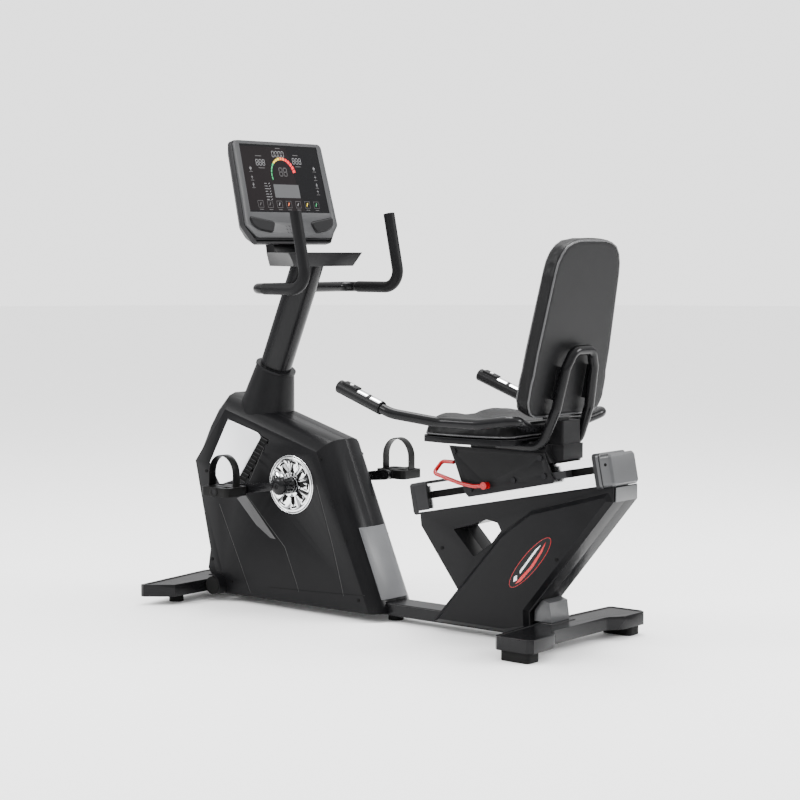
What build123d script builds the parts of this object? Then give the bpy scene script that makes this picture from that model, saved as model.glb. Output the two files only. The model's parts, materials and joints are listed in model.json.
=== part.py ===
"""Recumbent exercise bike, built from separate pieces.

Frame: +X towards the back of the machine (the rider faces -X), -Y on the rider's left, +Z up.
The origin is on the floor, at the middle of the machine. All sizes are in millimetres.
"""
import os
from math import atan2, cos, degrees, hypot, pi, radians, sin, sqrt

from build123d import *

os.makedirs("parts", exist_ok=True)

# ---------------------------------------------------------------- driving dimensions

# base
BEAM_HALF_WIDTH = 43.0
BEAM_BOTTOM, BEAM_TOP = 18.0, 54.0
BEAM_FRONT, BEAM_REAR = -645.8, 529.8
BEAM_WALL = 3.0
STAB_FRONT_BOTTOM, STAB_FRONT_TOP = 25.0, 61.0
STAB_REAR_BOTTOM, STAB_REAR_TOP = 28.0, 64.0
STAB_WALL = 5.0
STAB_TOP_WALL, STAB_RECESS = 7.0, 2.0  # top plate's thickness and its shallow recess
FOOT_RADIUS, FOOT_STUD, FOOT_STUD_LENGTH = 21.5, 5.0, 24.0
STUD_BORE_DEPTH = 26.0               # deeper than the stud reaches
FRONT_FOOT = (-700.0, 185.0)
MID_FOOT_X = 0.0

# transport wheels
TRANSPORT_AXIS = (-612.0, 47.0)
TRANSPORT_RADIUS = 27.0
TRANSPORT_AXLE = 5.0
TRANSPORT_Y, TRANSPORT_WIDTH = 113.0, 20.0
GUARD_CLEAR, GUARD_THICK = 4.0, 4.0
REAR_PAD, REAR_PAD_SPOT = (92.0, 52.0, 12.0), (604.0, 236.0)

# drive
CRANK_AXIS = (-318.0, 370.0)
CRANK_LENGTH = 165.0
CRANK_DROP = 7.0                     # degrees the left crank hangs below level
SPINDLE_RADIUS = 10.0
DISC_RADIUS, WINDOW_RADIUS = 80.0, 83.0
FLYWHEEL_AXIS = (-405.0, 190.0)
FLYWHEEL_RADIUS = 118.0
PULLEY_RADIUS, HUB_PULLEY_RADIUS = 92.0, 23.0
FLYWHEEL_AXLE, FLYWHEEL_WIDTH, FLYWHEEL_RIM, FLYWHEEL_HUB = 8.0, 28.0, 22.0, 30.0
BEARING_RADIUS, BEARING_WIDTH = 21.0, 14.0
FLYWHEEL_BEARING, BRACKET_THICK = 14.0, 6.0
BRACKET_SPOTS = (-34.0, 62.0)        # y of the outer face of each flywheel bracket
BELT_Y, BELT_WIDTH, BELT_THICK = 42.0, 14.0, 3.0
RUN = 0.05                           # radial running clearance of a shaft in its bore
PEDAL_Y = 200.0
PEDAL_SPINDLE = 7.0
PEDAL_LONG, PEDAL_WIDE, PEDAL_THICK = 108.0, 88.0, 26.0
PRESS = 0.02                         # radial gap of a pressed fit
CRANK_BOSS, CRANK_THICK = 26.0, 16.0

# front casing
CASE_HALF = 92.0
CASE_WALL = 3.5
CASE_BOTTOM = 24.0

# mast, handlebar and console
MAST_RADIUS, MAST_WALL = 46.5, 3.0
MAST_LOW, MAST_HIGH = Vector(-516.0, 0, 575.0), Vector(-335.0, 0, 1001.0)
BAR_RADIUS = 15.0
GRIP_THICK = 1.6
BAR_Z = 938.0
CONSOLE_TILT = 14.0
CONSOLE_CENTRE = Vector(-412.5, 0, 1215.0)

# rail and seat carriage
RAIL_ANGLE = 11.3
RAIL_FOOT = Vector(112.0, 0, 320.0)
RAIL_START, RAIL_END, RAIL_LENGTH = 20.0, 618.0, 673.0
RAIL_HALF, FLANGE_HALF = 52.0, 60.0
RAIL_TOP, FLANGE_HIGH = 74.0, 6.0
GROOVE_MID = 43.0                    # height of the middle of the shoe groove
LATCH_X, LATCH_STEP = 430.0, 25.0    # first latch hole and the spacing of the row
REAR_CAP_BAND = 22.0
GROOVE_LOW, GROOVE_HIGH, GROOVE_FLOOR = 33.0, 53.0, 40.0
PLATE_INNER, PLATE_THICK = 70.0, 6.0
PLATE_TOP = 519.0
LEVER_AXIS = (379.0, 420.0)
LEVER_ROD, LEVER_PIN = 5.5, 6.0
LOCK_PIN_RADIUS = 6.0
SEAT_TUBE = 14.0
PAN_BOTTOM, PAN_TOP = 550.0, 556.0
CUSHION_WALL, CUSHION_HIGH = 30.0, 52.0
TUBE_WALL = 2.0
CROSSBAR = (546.0, 590.0)            # handlebar crossbar behind the seat

# backrest
BACK_LEAN = 11.3
BACK_FOOT = Vector(573.5, 0, 610.0)  # lower edge of the pad's rear face
PAD_THICK, PAD_HEIGHT = 57.0, 478.0

# rear shroud
SHROUD_HALF, SHROUD_RAISED, SHROUD_WALL = 56.0, 68.0, 3.0
GAP = 0.2                            # face to face gap between covers

# ---------------------------------------------------------------- helpers


def save(piece, node):
    """Label a finished piece and write it as its own STEP file."""
    piece.part.label = node
    export_step(piece.part, f"parts/{node}.step")


def grown(points, distance):
    """Mitred offset of a closed outline, outwards for a positive distance."""
    area = sum(a[0] * b[1] - b[0] * a[1] for a, b in zip(points, points[1:] + points[:1]))
    side = 1 if area > 0 else -1
    result = []
    for before, here, after in zip(points[-1:] + points[:-1], points, points[1:] + points[:1]):
        ax, ay = here[0] - before[0], here[1] - before[1]
        bx, by = after[0] - here[0], after[1] - here[1]
        al, bl = hypot(ax, ay), hypot(bx, by)
        nax, nay = side * ay / al, -side * ax / al
        nbx, nby = side * by / bl, -side * bx / bl
        scale = distance / (1 + nax * nbx + nay * nby)
        result.append((here[0] + (nax + nbx) * scale, here[1] + (nay + nby) * scale))
    return result


def side_plane(y):
    """Plane facing -Y at this y, with X to the right and Z up."""
    return Plane.XZ.offset(-y)


def along_y(x, z, y):
    """Plane at a point, facing +Y, with Z up in the sketch."""
    return Plane(origin=(x, y, z), x_dir=(-1, 0, 0), z_dir=(0, 1, 0))


RAIL_PLANE = Plane(
    origin=RAIL_FOOT,
    x_dir=(cos(radians(RAIL_ANGLE)), 0, sin(radians(RAIL_ANGLE))),
    z_dir=(0, -1, 0),
)


def rail_point(u, w, y=0.0):
    """World point from distance along the rail, height above its base and y."""
    c, s = cos(radians(RAIL_ANGLE)), sin(radians(RAIL_ANGLE))
    return (RAIL_FOOT.X + u * c - w * s, y, RAIL_FOOT.Z + u * s + w * c)


def rail_section_plane(u):
    """Plane across the rail, facing up along it, with Y to the right."""
    c, s = cos(radians(RAIL_ANGLE)), sin(radians(RAIL_ANGLE))
    return Plane(origin=rail_point(u, 0), x_dir=(0, 1, 0), z_dir=(c, 0, s))


def rail_u(x, w):
    """Distance along the rail of a point at this X and height w above its base."""
    c, s = cos(radians(RAIL_ANGLE)), sin(radians(RAIL_ANGLE))
    return (x - RAIL_FOOT.X + w * s) / c


# ---------------------------------------------------------------- base frame

front_outline = [
    (-772, 0), (-731, -300), (-718, -302), (-646, -243), (-646, 0),
    (-646, 243), (-718, 302), (-731, 300),
]
with BuildPart() as front_stabiliser:
    with BuildSketch(Plane.XY.offset(STAB_FRONT_BOTTOM)):
        Polygon(*front_outline, align=None)
    extrude(amount=STAB_FRONT_TOP - STAB_FRONT_BOTTOM)
    with BuildSketch(Plane.XY.offset(STAB_FRONT_TOP)):
        Polygon(*grown(front_outline, -9), align=None)
    extrude(amount=-STAB_RECESS, mode=Mode.SUBTRACT)
    with BuildSketch(Plane.XY.offset(STAB_FRONT_BOTTOM)):
        Polygon(*grown(front_outline, -STAB_WALL), align=None)
    extrude(amount=STAB_FRONT_TOP - STAB_FRONT_BOTTOM - STAB_TOP_WALL, mode=Mode.SUBTRACT)
    with BuildSketch(Plane.XY.offset(STAB_FRONT_BOTTOM)):
        with Locations((FRONT_FOOT[0], -FRONT_FOOT[1]), (FRONT_FOOT[0], FRONT_FOOT[1])):
            Circle(13)
    extrude(amount=STAB_FRONT_TOP - STAB_FRONT_BOTTOM - 6)
    with BuildSketch(Plane.XY.offset(STAB_FRONT_BOTTOM)):
        with Locations((FRONT_FOOT[0], -FRONT_FOOT[1]), (FRONT_FOOT[0], FRONT_FOOT[1])):
            Circle(FOOT_STUD + RUN)
    extrude(amount=STUD_BORE_DEPTH, mode=Mode.SUBTRACT)
save(front_stabiliser, "front_stabiliser")

rear_half = [
    (530, 0), (542, -208), (546, -262), (556, -270), (648, -270), (664, -258),
    (662, -168), (652, -146), (636, -128), (632, -118),
]
rear_outline = rear_half + [(x, -y) for x, y in reversed(rear_half[1:])]
with BuildPart() as rear_stabiliser:
    with BuildSketch(Plane.XY.offset(STAB_REAR_BOTTOM)):
        Polygon(*rear_outline, align=None)
    extrude(amount=STAB_REAR_TOP - STAB_REAR_BOTTOM)
    with BuildSketch(Plane.XY.offset(STAB_REAR_TOP)):
        Polygon(*grown(rear_outline, -8), align=None)
        with Locations((548, 0)):
            Rectangle(62, 104, mode=Mode.SUBTRACT)
    extrude(amount=-STAB_RECESS, mode=Mode.SUBTRACT)
    with BuildSketch(Plane.XY.offset(STAB_REAR_BOTTOM)):
        Polygon(*grown(rear_outline, -STAB_WALL), align=None)
    extrude(amount=STAB_REAR_TOP - STAB_REAR_BOTTOM - STAB_TOP_WALL, mode=Mode.SUBTRACT)
save(rear_stabiliser, "rear_stabiliser")

with BuildPart() as base_beam:
    with BuildSketch(Plane.YZ.offset(BEAM_FRONT)):
        with Locations((0, (BEAM_BOTTOM + BEAM_TOP) / 2)):
            RectangleRounded(2 * BEAM_HALF_WIDTH, BEAM_TOP - BEAM_BOTTOM, 5)
            RectangleRounded(
                2 * (BEAM_HALF_WIDTH - BEAM_WALL), BEAM_TOP - BEAM_BOTTOM - 2 * BEAM_WALL, 2,
                mode=Mode.SUBTRACT,
            )
    extrude(amount=BEAM_REAR - BEAM_FRONT)
    with BuildSketch(along_y(*TRANSPORT_AXIS, -60)):
        Circle(TRANSPORT_AXLE + RUN)
    extrude(amount=120, mode=Mode.SUBTRACT)
    with BuildSketch(Plane.XY.offset(BEAM_BOTTOM)):
        with Locations((MID_FOOT_X, 0)):
            Circle(12)
    extrude(amount=BEAM_TOP - BEAM_BOTTOM - 1)
    with BuildSketch(Plane.XY.offset(BEAM_BOTTOM - 1)):
        with Locations((MID_FOOT_X, 0)):
            Circle(FOOT_STUD + RUN)
    extrude(amount=29, mode=Mode.SUBTRACT)
save(base_beam, "base_beam")


def make_foot(x, y, seat, node):
    """A levelling foot: rubber pad below the seat height, threaded stud above it."""
    with BuildPart() as foot:
        with BuildSketch(Plane.XY):
            with Locations((x, y)):
                Circle(FOOT_RADIUS)
        extrude(amount=seat - 0.3)
        chamfer(foot.faces().sort_by(Axis.Z)[-1].edges(), 2.5)
        with BuildSketch(Plane.XY.offset(seat - 0.4)):
            with Locations((x, y)):
                Circle(FOOT_STUD)
        extrude(amount=FOOT_STUD_LENGTH)
    save(foot, node)


make_foot(FRONT_FOOT[0], -FRONT_FOOT[1], STAB_FRONT_BOTTOM, "foot_front_left")
make_foot(FRONT_FOOT[0], FRONT_FOOT[1], STAB_FRONT_BOTTOM, "foot_front_right")
make_foot(MID_FOOT_X, 0, BEAM_BOTTOM, "foot_mid")

with BuildPart() as rear_pads:
    with BuildSketch(Plane.XY):
        with Locations((REAR_PAD_SPOT[0], -REAR_PAD_SPOT[1]), REAR_PAD_SPOT):
            RectangleRounded(*REAR_PAD)
    extrude(amount=STAB_REAR_BOTTOM)
save(rear_pads, "rear_pads")

with BuildPart() as transport_wheels:
    for wheel_side in (-1, 1):
        with BuildSketch(along_y(*TRANSPORT_AXIS, wheel_side * TRANSPORT_Y - TRANSPORT_WIDTH / 2)):
            Circle(TRANSPORT_RADIUS)
        extrude(amount=TRANSPORT_WIDTH)
    fillet(transport_wheels.edges().filter_by(GeomType.CIRCLE), 3)
    with BuildSketch(along_y(*TRANSPORT_AXIS, -120)):
        Circle(TRANSPORT_AXLE)
    extrude(amount=240)
save(transport_wheels, "transport_wheels")

# ---------------------------------------------------------------- drive frame and drive

PLUG_BORE = 36.0
POST_FOOT, POST_HEAD = Vector(-588, 0, BEAM_TOP), Vector(-530, 0, 548)
FOOT_PLATE, POST_WALL = 5.0, 3.5
with BuildPart() as drive_frame:
    post_dir = (POST_HEAD - POST_FOOT).normalized()
    post_plane = Plane(origin=POST_FOOT - post_dir * 10, x_dir=(0, 1, 0), z_dir=post_dir)
    with BuildSketch(post_plane):
        RectangleRounded(60, 44, 6)
        RectangleRounded(60 - 2 * POST_WALL, 44 - 2 * POST_WALL, 3, mode=Mode.SUBTRACT)
    extrude(amount=(POST_HEAD - POST_FOOT).length + 20)
    with BuildSketch(Plane.XY):
        with Locations((-500, 0)):
            Rectangle(600, 200)
    extrude(amount=BEAM_TOP, mode=Mode.SUBTRACT)
    # foot plate on the beam, with a wing for the right-hand flywheel bracket
    with BuildSketch(Plane.XY.offset(BEAM_TOP)):
        with Locations((-466, 0)):
            Rectangle(300, 80)
        with Locations((FLYWHEEL_AXIS[0], 52)):
            Rectangle(120, 32)
    extrude(amount=FOOT_PLATE)
    # crank shell and the arm that carries it
    with BuildSketch(side_plane(15)):
        Polygon((-560, 400), (CRANK_AXIS[0], 386), (CRANK_AXIS[0], 350), (-575, 340), align=None)
    extrude(amount=30)
    with BuildSketch(along_y(*CRANK_AXIS, -32)):
        Circle(26)
    extrude(amount=64)
    with BuildSketch(along_y(*CRANK_AXIS, -40)):
        Circle(BEARING_RADIUS)
    extrude(amount=80, mode=Mode.SUBTRACT)
    # flywheel brackets, one on each side
    for y_low in BRACKET_SPOTS:
        with BuildSketch(side_plane(y_low)):
            Polygon(
                (FLYWHEEL_AXIS[0] - 60, BEAM_TOP), (FLYWHEEL_AXIS[0] - 22, FLYWHEEL_AXIS[1] + 20),
                (FLYWHEEL_AXIS[0] + 22, FLYWHEEL_AXIS[1] + 20), (FLYWHEEL_AXIS[0] + 60, BEAM_TOP),
                align=None,
            )
        extrude(amount=-BRACKET_THICK)
    with BuildSketch(along_y(*FLYWHEEL_AXIS, -40)):
        Circle(FLYWHEEL_BEARING)
    extrude(amount=120, mode=Mode.SUBTRACT)
    # the head is turned to a plug that the mast slides over
    mast_dir = (MAST_HIGH - MAST_LOW).normalized()
    with BuildSketch(Plane(origin=MAST_LOW - mast_dir * 50, x_dir=(0, 1, 0), z_dir=mast_dir)):
        Circle(MAST_RADIUS - MAST_WALL - 0.1)
        Circle(PLUG_BORE, mode=Mode.SUBTRACT)
    extrude(amount=110)
save(drive_frame, "drive_frame")

with BuildPart() as mast:
    with BuildSketch(Plane(origin=MAST_LOW, x_dir=(0, 1, 0), z_dir=mast_dir)):
        Circle(MAST_RADIUS)
        Circle(MAST_RADIUS - MAST_WALL, mode=Mode.SUBTRACT)
    extrude(amount=(MAST_HIGH - MAST_LOW).length + 60)
    with BuildSketch(Plane.XY.offset(MAST_HIGH.Z - 1)):
        with Locations((MAST_HIGH.X, 0)):
            Rectangle(300, 200)
    extrude(amount=120, mode=Mode.SUBTRACT)
    bar_x = MAST_LOW.X + (BAR_Z - MAST_LOW.Z) * mast_dir.X / mast_dir.Z
    with BuildSketch(along_y(bar_x, BAR_Z, -80)):
        Circle(BAR_RADIUS + RUN)
    extrude(amount=160, mode=Mode.SUBTRACT)
save(mast, "mast")

with BuildPart() as bearings:
    for y_low in (-31.8, 17.8):
        with BuildSketch(along_y(*CRANK_AXIS, y_low)):
            Circle(BEARING_RADIUS)
            Circle(SPINDLE_RADIUS + RUN, mode=Mode.SUBTRACT)
        extrude(amount=BEARING_WIDTH)
    for y_low in BRACKET_SPOTS:
        with BuildSketch(along_y(*FLYWHEEL_AXIS, y_low)):
            Circle(FLYWHEEL_BEARING)
            Circle(FLYWHEEL_AXLE + RUN, mode=Mode.SUBTRACT)
        extrude(amount=BRACKET_THICK)
save(bearings, "bearings")

with BuildPart() as flywheel:
    with BuildSketch(along_y(*FLYWHEEL_AXIS, -FLYWHEEL_WIDTH / 2)):
        Circle(FLYWHEEL_RADIUS)
    extrude(amount=FLYWHEEL_WIDTH)
    for y_low, direction in ((-FLYWHEEL_WIDTH / 2, 1), (FLYWHEEL_WIDTH / 2, -1)):
        with BuildSketch(along_y(*FLYWHEEL_AXIS, y_low)):
            Circle(FLYWHEEL_RADIUS - FLYWHEEL_RIM)
            Circle(FLYWHEEL_HUB, mode=Mode.SUBTRACT)
        extrude(amount=9 * direction, mode=Mode.SUBTRACT)
    with BuildSketch(along_y(*FLYWHEEL_AXIS, 13)):
        Circle(HUB_PULLEY_RADIUS - 5)
    extrude(amount=45)
    with BuildSketch(along_y(*FLYWHEEL_AXIS, BELT_Y - 2)):
        Circle(HUB_PULLEY_RADIUS)
    extrude(amount=BELT_WIDTH + 4)
    with BuildSketch(along_y(*FLYWHEEL_AXIS, -38)):
        Circle(FLYWHEEL_AXLE)
    extrude(amount=112)
save(flywheel, "flywheel")

with BuildPart() as brake_coil:
    with BuildSketch(side_plane(-31)):
        with Locations((FLYWHEEL_AXIS[0] + 128, FLYWHEEL_AXIS[1] - 30)):
            Rectangle(60, 56)
    extrude(amount=-60)
    with BuildSketch(along_y(*FLYWHEEL_AXIS, -18)):
        Circle(FLYWHEEL_RADIUS + 6)
    extrude(amount=36, mode=Mode.SUBTRACT)
    with BuildSketch(side_plane(-20)):
        with Locations((FLYWHEEL_AXIS[0] + 146, (FLYWHEEL_AXIS[1] - 56 + BEAM_TOP) / 2)):
            Rectangle(20, FLYWHEEL_AXIS[1] - 56 - BEAM_TOP)
    extrude(amount=-40)
    with BuildSketch(Plane.XY.offset(BEAM_TOP)):
        with Locations((-466, 0)):
            Rectangle(300, 80)
    extrude(amount=FOOT_PLATE, mode=Mode.SUBTRACT)
save(brake_coil, "brake_coil")

with BuildPart() as drive_pulley:
    with BuildSketch(along_y(*CRANK_AXIS, BELT_Y - 1)):
        Circle(PULLEY_RADIUS)
        Circle(SPINDLE_RADIUS + PRESS, mode=Mode.SUBTRACT)
        with PolarLocations(58, 6):
            Circle(17, mode=Mode.SUBTRACT)
    extrude(amount=BELT_WIDTH + 2)
save(drive_pulley, "drive_pulley")

# the belt: a band around both pulleys, a hair clear of them
span = Vector(FLYWHEEL_AXIS[0] - CRANK_AXIS[0], FLYWHEEL_AXIS[1] - CRANK_AXIS[1])
wrap = degrees(atan2(span.Y, span.X))
lean = degrees(pi / 2 - atan2(sqrt(span.length**2 - (PULLEY_RADIUS - HUB_PULLEY_RADIUS) ** 2),
                              PULLEY_RADIUS - HUB_PULLEY_RADIUS))


def belt_loop(extra):
    """Closed outline at this distance outside both pulleys."""
    points = []
    for centre, radius in ((CRANK_AXIS, PULLEY_RADIUS), (FLYWHEEL_AXIS, HUB_PULLEY_RADIUS)):
        for side in (1, -1):
            angle = radians(wrap + side * (90 - lean))
            reach = radius + extra
            points.append((centre[0] + reach * cos(angle), centre[1] + reach * sin(angle)))
    return points


def belt_sketch(extra, mode=Mode.ADD):
    """Filled belt outline, as a polygon between the tangent points and two discs."""
    big_a, big_b, small_a, small_b = belt_loop(extra)
    Polygon(big_a, big_b, small_b, small_a, align=None, mode=mode)
    with Locations(CRANK_AXIS):
        Circle(PULLEY_RADIUS + extra, mode=mode)
    with Locations(FLYWHEEL_AXIS):
        Circle(HUB_PULLEY_RADIUS + extra, mode=mode)


with BuildPart() as drive_belt:
    with BuildSketch(side_plane(BELT_Y)):
        belt_sketch(BELT_THICK + 0.3)
    extrude(amount=-BELT_WIDTH)
    with BuildSketch(side_plane(BELT_Y - 1)):
        belt_sketch(0.3)
    extrude(amount=-BELT_WIDTH - 2, mode=Mode.SUBTRACT)
save(drive_belt, "drive_belt")

# ---------------------------------------------------------------- crankset and pedals

with BuildPart() as crank_spindle:
    with BuildSketch(along_y(*CRANK_AXIS, -134)):
        Circle(SPINDLE_RADIUS)
    extrude(amount=268)
save(crank_spindle, "crank_spindle")


def crank_end(side):
    """Centre of the pedal eye, side -1 for the left crank and 1 for the right."""
    reach = CRANK_LENGTH * cos(radians(CRANK_DROP))
    drop = CRANK_LENGTH * sin(radians(CRANK_DROP))
    return (CRANK_AXIS[0] + side * reach, CRANK_AXIS[1] + side * drop)


def make_crank(side, node):
    """A forged crank: a round boss on the spindle, a tapered arm and the pedal eye."""
    end = crank_end(side)
    arm_low = 136.0 if side > 0 else -152.0
    boss_low = 104.0 if side > 0 else -146.0
    mid = ((CRANK_AXIS[0] + end[0]) / 2, (CRANK_AXIS[1] + end[1]) / 2)
    tilt = degrees(atan2(end[1] - CRANK_AXIS[1], end[0] - CRANK_AXIS[0]))
    with BuildPart() as crank:
        with BuildSketch(side_plane(arm_low)):
            with Locations(CRANK_AXIS):
                Circle(21)
            with Locations(end):
                Circle(14)
            with Locations(Location(mid, tilt)):
                Trapezoid(30, CRANK_LENGTH, 91.5, rotation=-90)
        extrude(amount=-CRANK_THICK)
        with BuildSketch(along_y(*CRANK_AXIS, boss_low)):
            Circle(CRANK_BOSS)
        extrude(amount=42)
        with BuildSketch(along_y(*CRANK_AXIS, -140)):
            Circle(SPINDLE_RADIUS + PRESS)
        extrude(amount=280, mode=Mode.SUBTRACT)
        with BuildSketch(along_y(*end, -160)):
            Circle(PEDAL_SPINDLE + PRESS)
        extrude(amount=320, mode=Mode.SUBTRACT)
    save(crank, node)


make_crank(-1, "crank_left")
make_crank(1, "crank_right")

with BuildPart() as crank_discs:
    for y_low in (-92.0, 86.0):
        with BuildSketch(along_y(*CRANK_AXIS, y_low)):
            Circle(DISC_RADIUS)
            Circle(SPINDLE_RADIUS + PRESS, mode=Mode.SUBTRACT)
            with PolarLocations(54, 9):
                SlotOverall(34, 15, mode=Mode.SUBTRACT)
            with PolarLocations(66, 9, start_angle=20):
                Circle(5, mode=Mode.SUBTRACT)
        extrude(amount=6)
save(crank_discs, "crank_discs")

with BuildPart() as pedal_spindles:
    for side in (-1, 1):
        start = 137.0 if side > 0 else -245.0
        with BuildSketch(along_y(*crank_end(side), start)):
            Circle(PEDAL_SPINDLE)
        extrude(amount=108)
save(pedal_spindles, "pedal_spindles")


def make_pedal(side, node):
    """A platform pedal with open windows and a bore for its spindle."""
    x, z = crank_end(side)
    y = side * PEDAL_Y
    with BuildPart() as pedal:
        with BuildSketch(Plane.XY.offset(z - PEDAL_THICK / 2)):
            with Locations((x, y)):
                RectangleRounded(PEDAL_LONG, PEDAL_WIDE, 14)
                with Locations((-31, -20), (-31, 20), (31, -20), (31, 20)):
                    RectangleRounded(30, 26, 5, mode=Mode.SUBTRACT)
        extrude(amount=PEDAL_THICK)
        with BuildSketch(along_y(x, z, y - 46)):
            Circle(15)
        extrude(amount=92)
        with BuildSketch(along_y(x, z, y - 50)):
            Circle(PEDAL_SPINDLE + RUN)
        extrude(amount=100, mode=Mode.SUBTRACT)
    save(pedal, node)


def make_strap(side, node):
    """A foot strap: a flat band that rises from the pedal's edges over the shoe."""
    x, z = crank_end(side)
    y = side * PEDAL_Y
    half, wide, thick = 50.0, 28.0, 3.0
    foot, shoulder, arch = PEDAL_THICK / 2 + 0.2, 36.0, 56.0
    upright = (0, foot + shoulder / 2)
    crown = (0, foot + shoulder)
    with BuildPart() as strap:
        with BuildSketch(along_y(x, z, y - wide / 2)):
            with Locations(upright):
                Rectangle(2 * half, shoulder)
            with Locations(crown):
                Ellipse(half, arch)
            with Locations(upright):
                Rectangle(2 * (half - thick), shoulder, mode=Mode.SUBTRACT)
            with Locations(crown):
                Ellipse(half - thick, arch - thick, mode=Mode.SUBTRACT)
            with Locations((0, foot - 100)):
                Rectangle(200, 200, mode=Mode.SUBTRACT)
        extrude(amount=wide)
    save(strap, node)


make_pedal(-1, "pedal_left")
make_pedal(1, "pedal_right")
make_strap(-1, "pedal_strap_left")
make_strap(1, "pedal_strap_right")

# ---------------------------------------------------------------- front casing

# corner points in X and Z: at the middle of the casing, and at its flat sides
CASE_MIDDLE = [
    (-712, 414), (-668, 540), (-648, 573), (-600, 622), (-190, 504),
    (13, CASE_BOTTOM), (-599, CASE_BOTTOM), (-655, 91), (-650, 150),
]
CASE_SIDE = [
    (-708, 414), (-640, 500), (-610, 538), (-581, 575), (-220, 471),
    (-24, CASE_BOTTOM), (-599, CASE_BOTTOM), (-657, 91), (-647, 150),
]
CASE_STEPS = ((30.0, 0.0), (58.0, 0.16), (78.0, 0.48), (CASE_HALF, 1.0))


def case_section(share, grow):
    """Outline between the middle one and the side one."""
    blend = [
        (a[0] + (b[0] - a[0]) * share, a[1] + (b[1] - a[1]) * share)
        for a, b in zip(CASE_MIDDLE, CASE_SIDE)
    ]
    return grown(blend, grow)


def casing_block(grow):
    """The casing as a filled block, larger by this much on every side."""
    with BuildPart() as block:
        with BuildSketch(side_plane(CASE_STEPS[0][0])):
            Polygon(*case_section(0, grow), align=None)
        extrude(amount=2 * CASE_STEPS[0][0])
        for low, high in zip(CASE_STEPS, CASE_STEPS[1:]):
            top = high[0] + (grow if high[0] == CASE_HALF else 0)
            with BuildSketch(side_plane(-low[0])):
                Polygon(*case_section(low[1], grow), align=None)
            with BuildSketch(side_plane(-top)):
                Polygon(*case_section(high[1], grow), align=None)
            loft(ruled=True)
        mirror(about=Plane.XZ)
    return block.part


INSERT = [(-571, 547), (-448, 514), (-435, 501), (-527, 372), (-606, 347), (-649, 411)]
case_outer = casing_block(0)
case_inner = casing_block(-CASE_WALL)

with BuildPart() as casing:
    add(case_outer)
    add(case_inner, mode=Mode.SUBTRACT)
    # way through for the base beam, and open underneath
    with BuildSketch(Plane.YZ.offset(-760)):
        with Locations((0, 27.5)):
            Rectangle(2 * BEAM_HALF_WIDTH + 1.0, 55)
    extrude(amount=800, mode=Mode.SUBTRACT)
    with BuildSketch(Plane.XY.offset(CASE_BOTTOM - 1)):
        with Locations((-305, 0)):
            Rectangle(560, 2 * (CASE_HALF - CASE_WALL))
    extrude(amount=CASE_WALL + 1.5, mode=Mode.SUBTRACT)
    # round crank windows and the mast opening
    with BuildSketch(along_y(*CRANK_AXIS, -120)):
        Circle(WINDOW_RADIUS)
    extrude(amount=240, mode=Mode.SUBTRACT)
    with BuildSketch(Plane(origin=MAST_LOW - mast_dir * 30, x_dir=(0, 1, 0), z_dir=mast_dir)):
        Circle(MAST_RADIUS + 3)
    extrude(amount=120, mode=Mode.SUBTRACT)
    # openings for the side inserts, their vents, and the transport wheel axle
    for side in (-1, 1):
        with BuildSketch(side_plane(side * CASE_HALF + 10)):
            Polygon(*grown(INSERT, 0.3), align=None)
            for step in range(6):
                share = (step + 0.5) / 6
                x = -435 + (-527 + 435) * share
                z = 501 + (372 - 501) * share
                with Locations(Location((x + 22, z + 2), -20)):
                    Rectangle(28, 15)
        extrude(amount=20, mode=Mode.SUBTRACT)
    with BuildSketch(along_y(*TRANSPORT_AXIS, -120)):
        Circle(TRANSPORT_AXLE + 4)
    extrude(amount=240, mode=Mode.SUBTRACT)
    # rounded guards over the transport wheels
    for side in (-1, 1):
        with BuildSketch(along_y(*TRANSPORT_AXIS, 91 if side > 0 else -126)):
            Circle(TRANSPORT_RADIUS + GUARD_CLEAR + GUARD_THICK)
            Circle(TRANSPORT_RADIUS + GUARD_CLEAR, mode=Mode.SUBTRACT)
            with Locations((40, -10)):
                Rectangle(60, 120, mode=Mode.SUBTRACT)
            with Locations((0, -60)):
                Rectangle(160, 76, mode=Mode.SUBTRACT)
        extrude(amount=35)

with BuildPart() as casing_left:
    add(casing.part)
    split(bisect_by=Plane.XZ.offset(GAP / 2), keep=Keep.TOP)
save(casing_left, "casing_left")

with BuildPart() as casing_right:
    add(casing.part)
    split(bisect_by=Plane.XZ.offset(-GAP / 2), keep=Keep.BOTTOM)
save(casing_right, "casing_right")

with BuildPart() as casing_inserts:
    for side in (-1, 1):
        with BuildSketch(side_plane(side * CASE_HALF)):
            Polygon(*grown(INSERT, -0.3), align=None)
        extrude(amount=3 * side)
        with BuildSketch(side_plane(side * CASE_HALF)):
            Polygon(*grown(INSERT, -2.5), align=None)
        extrude(amount=-1.5 * side)
save(casing_inserts, "casing_inserts")

with BuildPart() as casing_rear_cover:
    add(casing_block(3.0))
    add(casing_block(GAP), mode=Mode.SUBTRACT)
    with BuildSketch(Plane.YZ.offset(-140)):
        with Locations((0, 160)):
            Rectangle(112, 200)
        with Locations((0, 212)):
            Ellipse(56, 48)
        with Locations((0, 30)):
            Rectangle(300, 64, mode=Mode.SUBTRACT)
    extrude(amount=200, mode=Mode.INTERSECT)
    with BuildSketch(Plane.XZ):
        Polygon((-150, 300), (-118, 300), (4, 30), (-150, 30), align=None)
    extrude(amount=150, both=True, mode=Mode.SUBTRACT)
save(casing_rear_cover, "casing_rear_cover")

# ---------------------------------------------------------------- mast boot, bars and tray

BOOT_TOP = Vector(-462, 0, 698)
BOOT_BASE = Vector(-500, 0, 560)
BOOT_LOW_RADIUS, BOOT_HIGH_RADIUS, BOOT_WALL = 85.0, 58.0, 4.0


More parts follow.
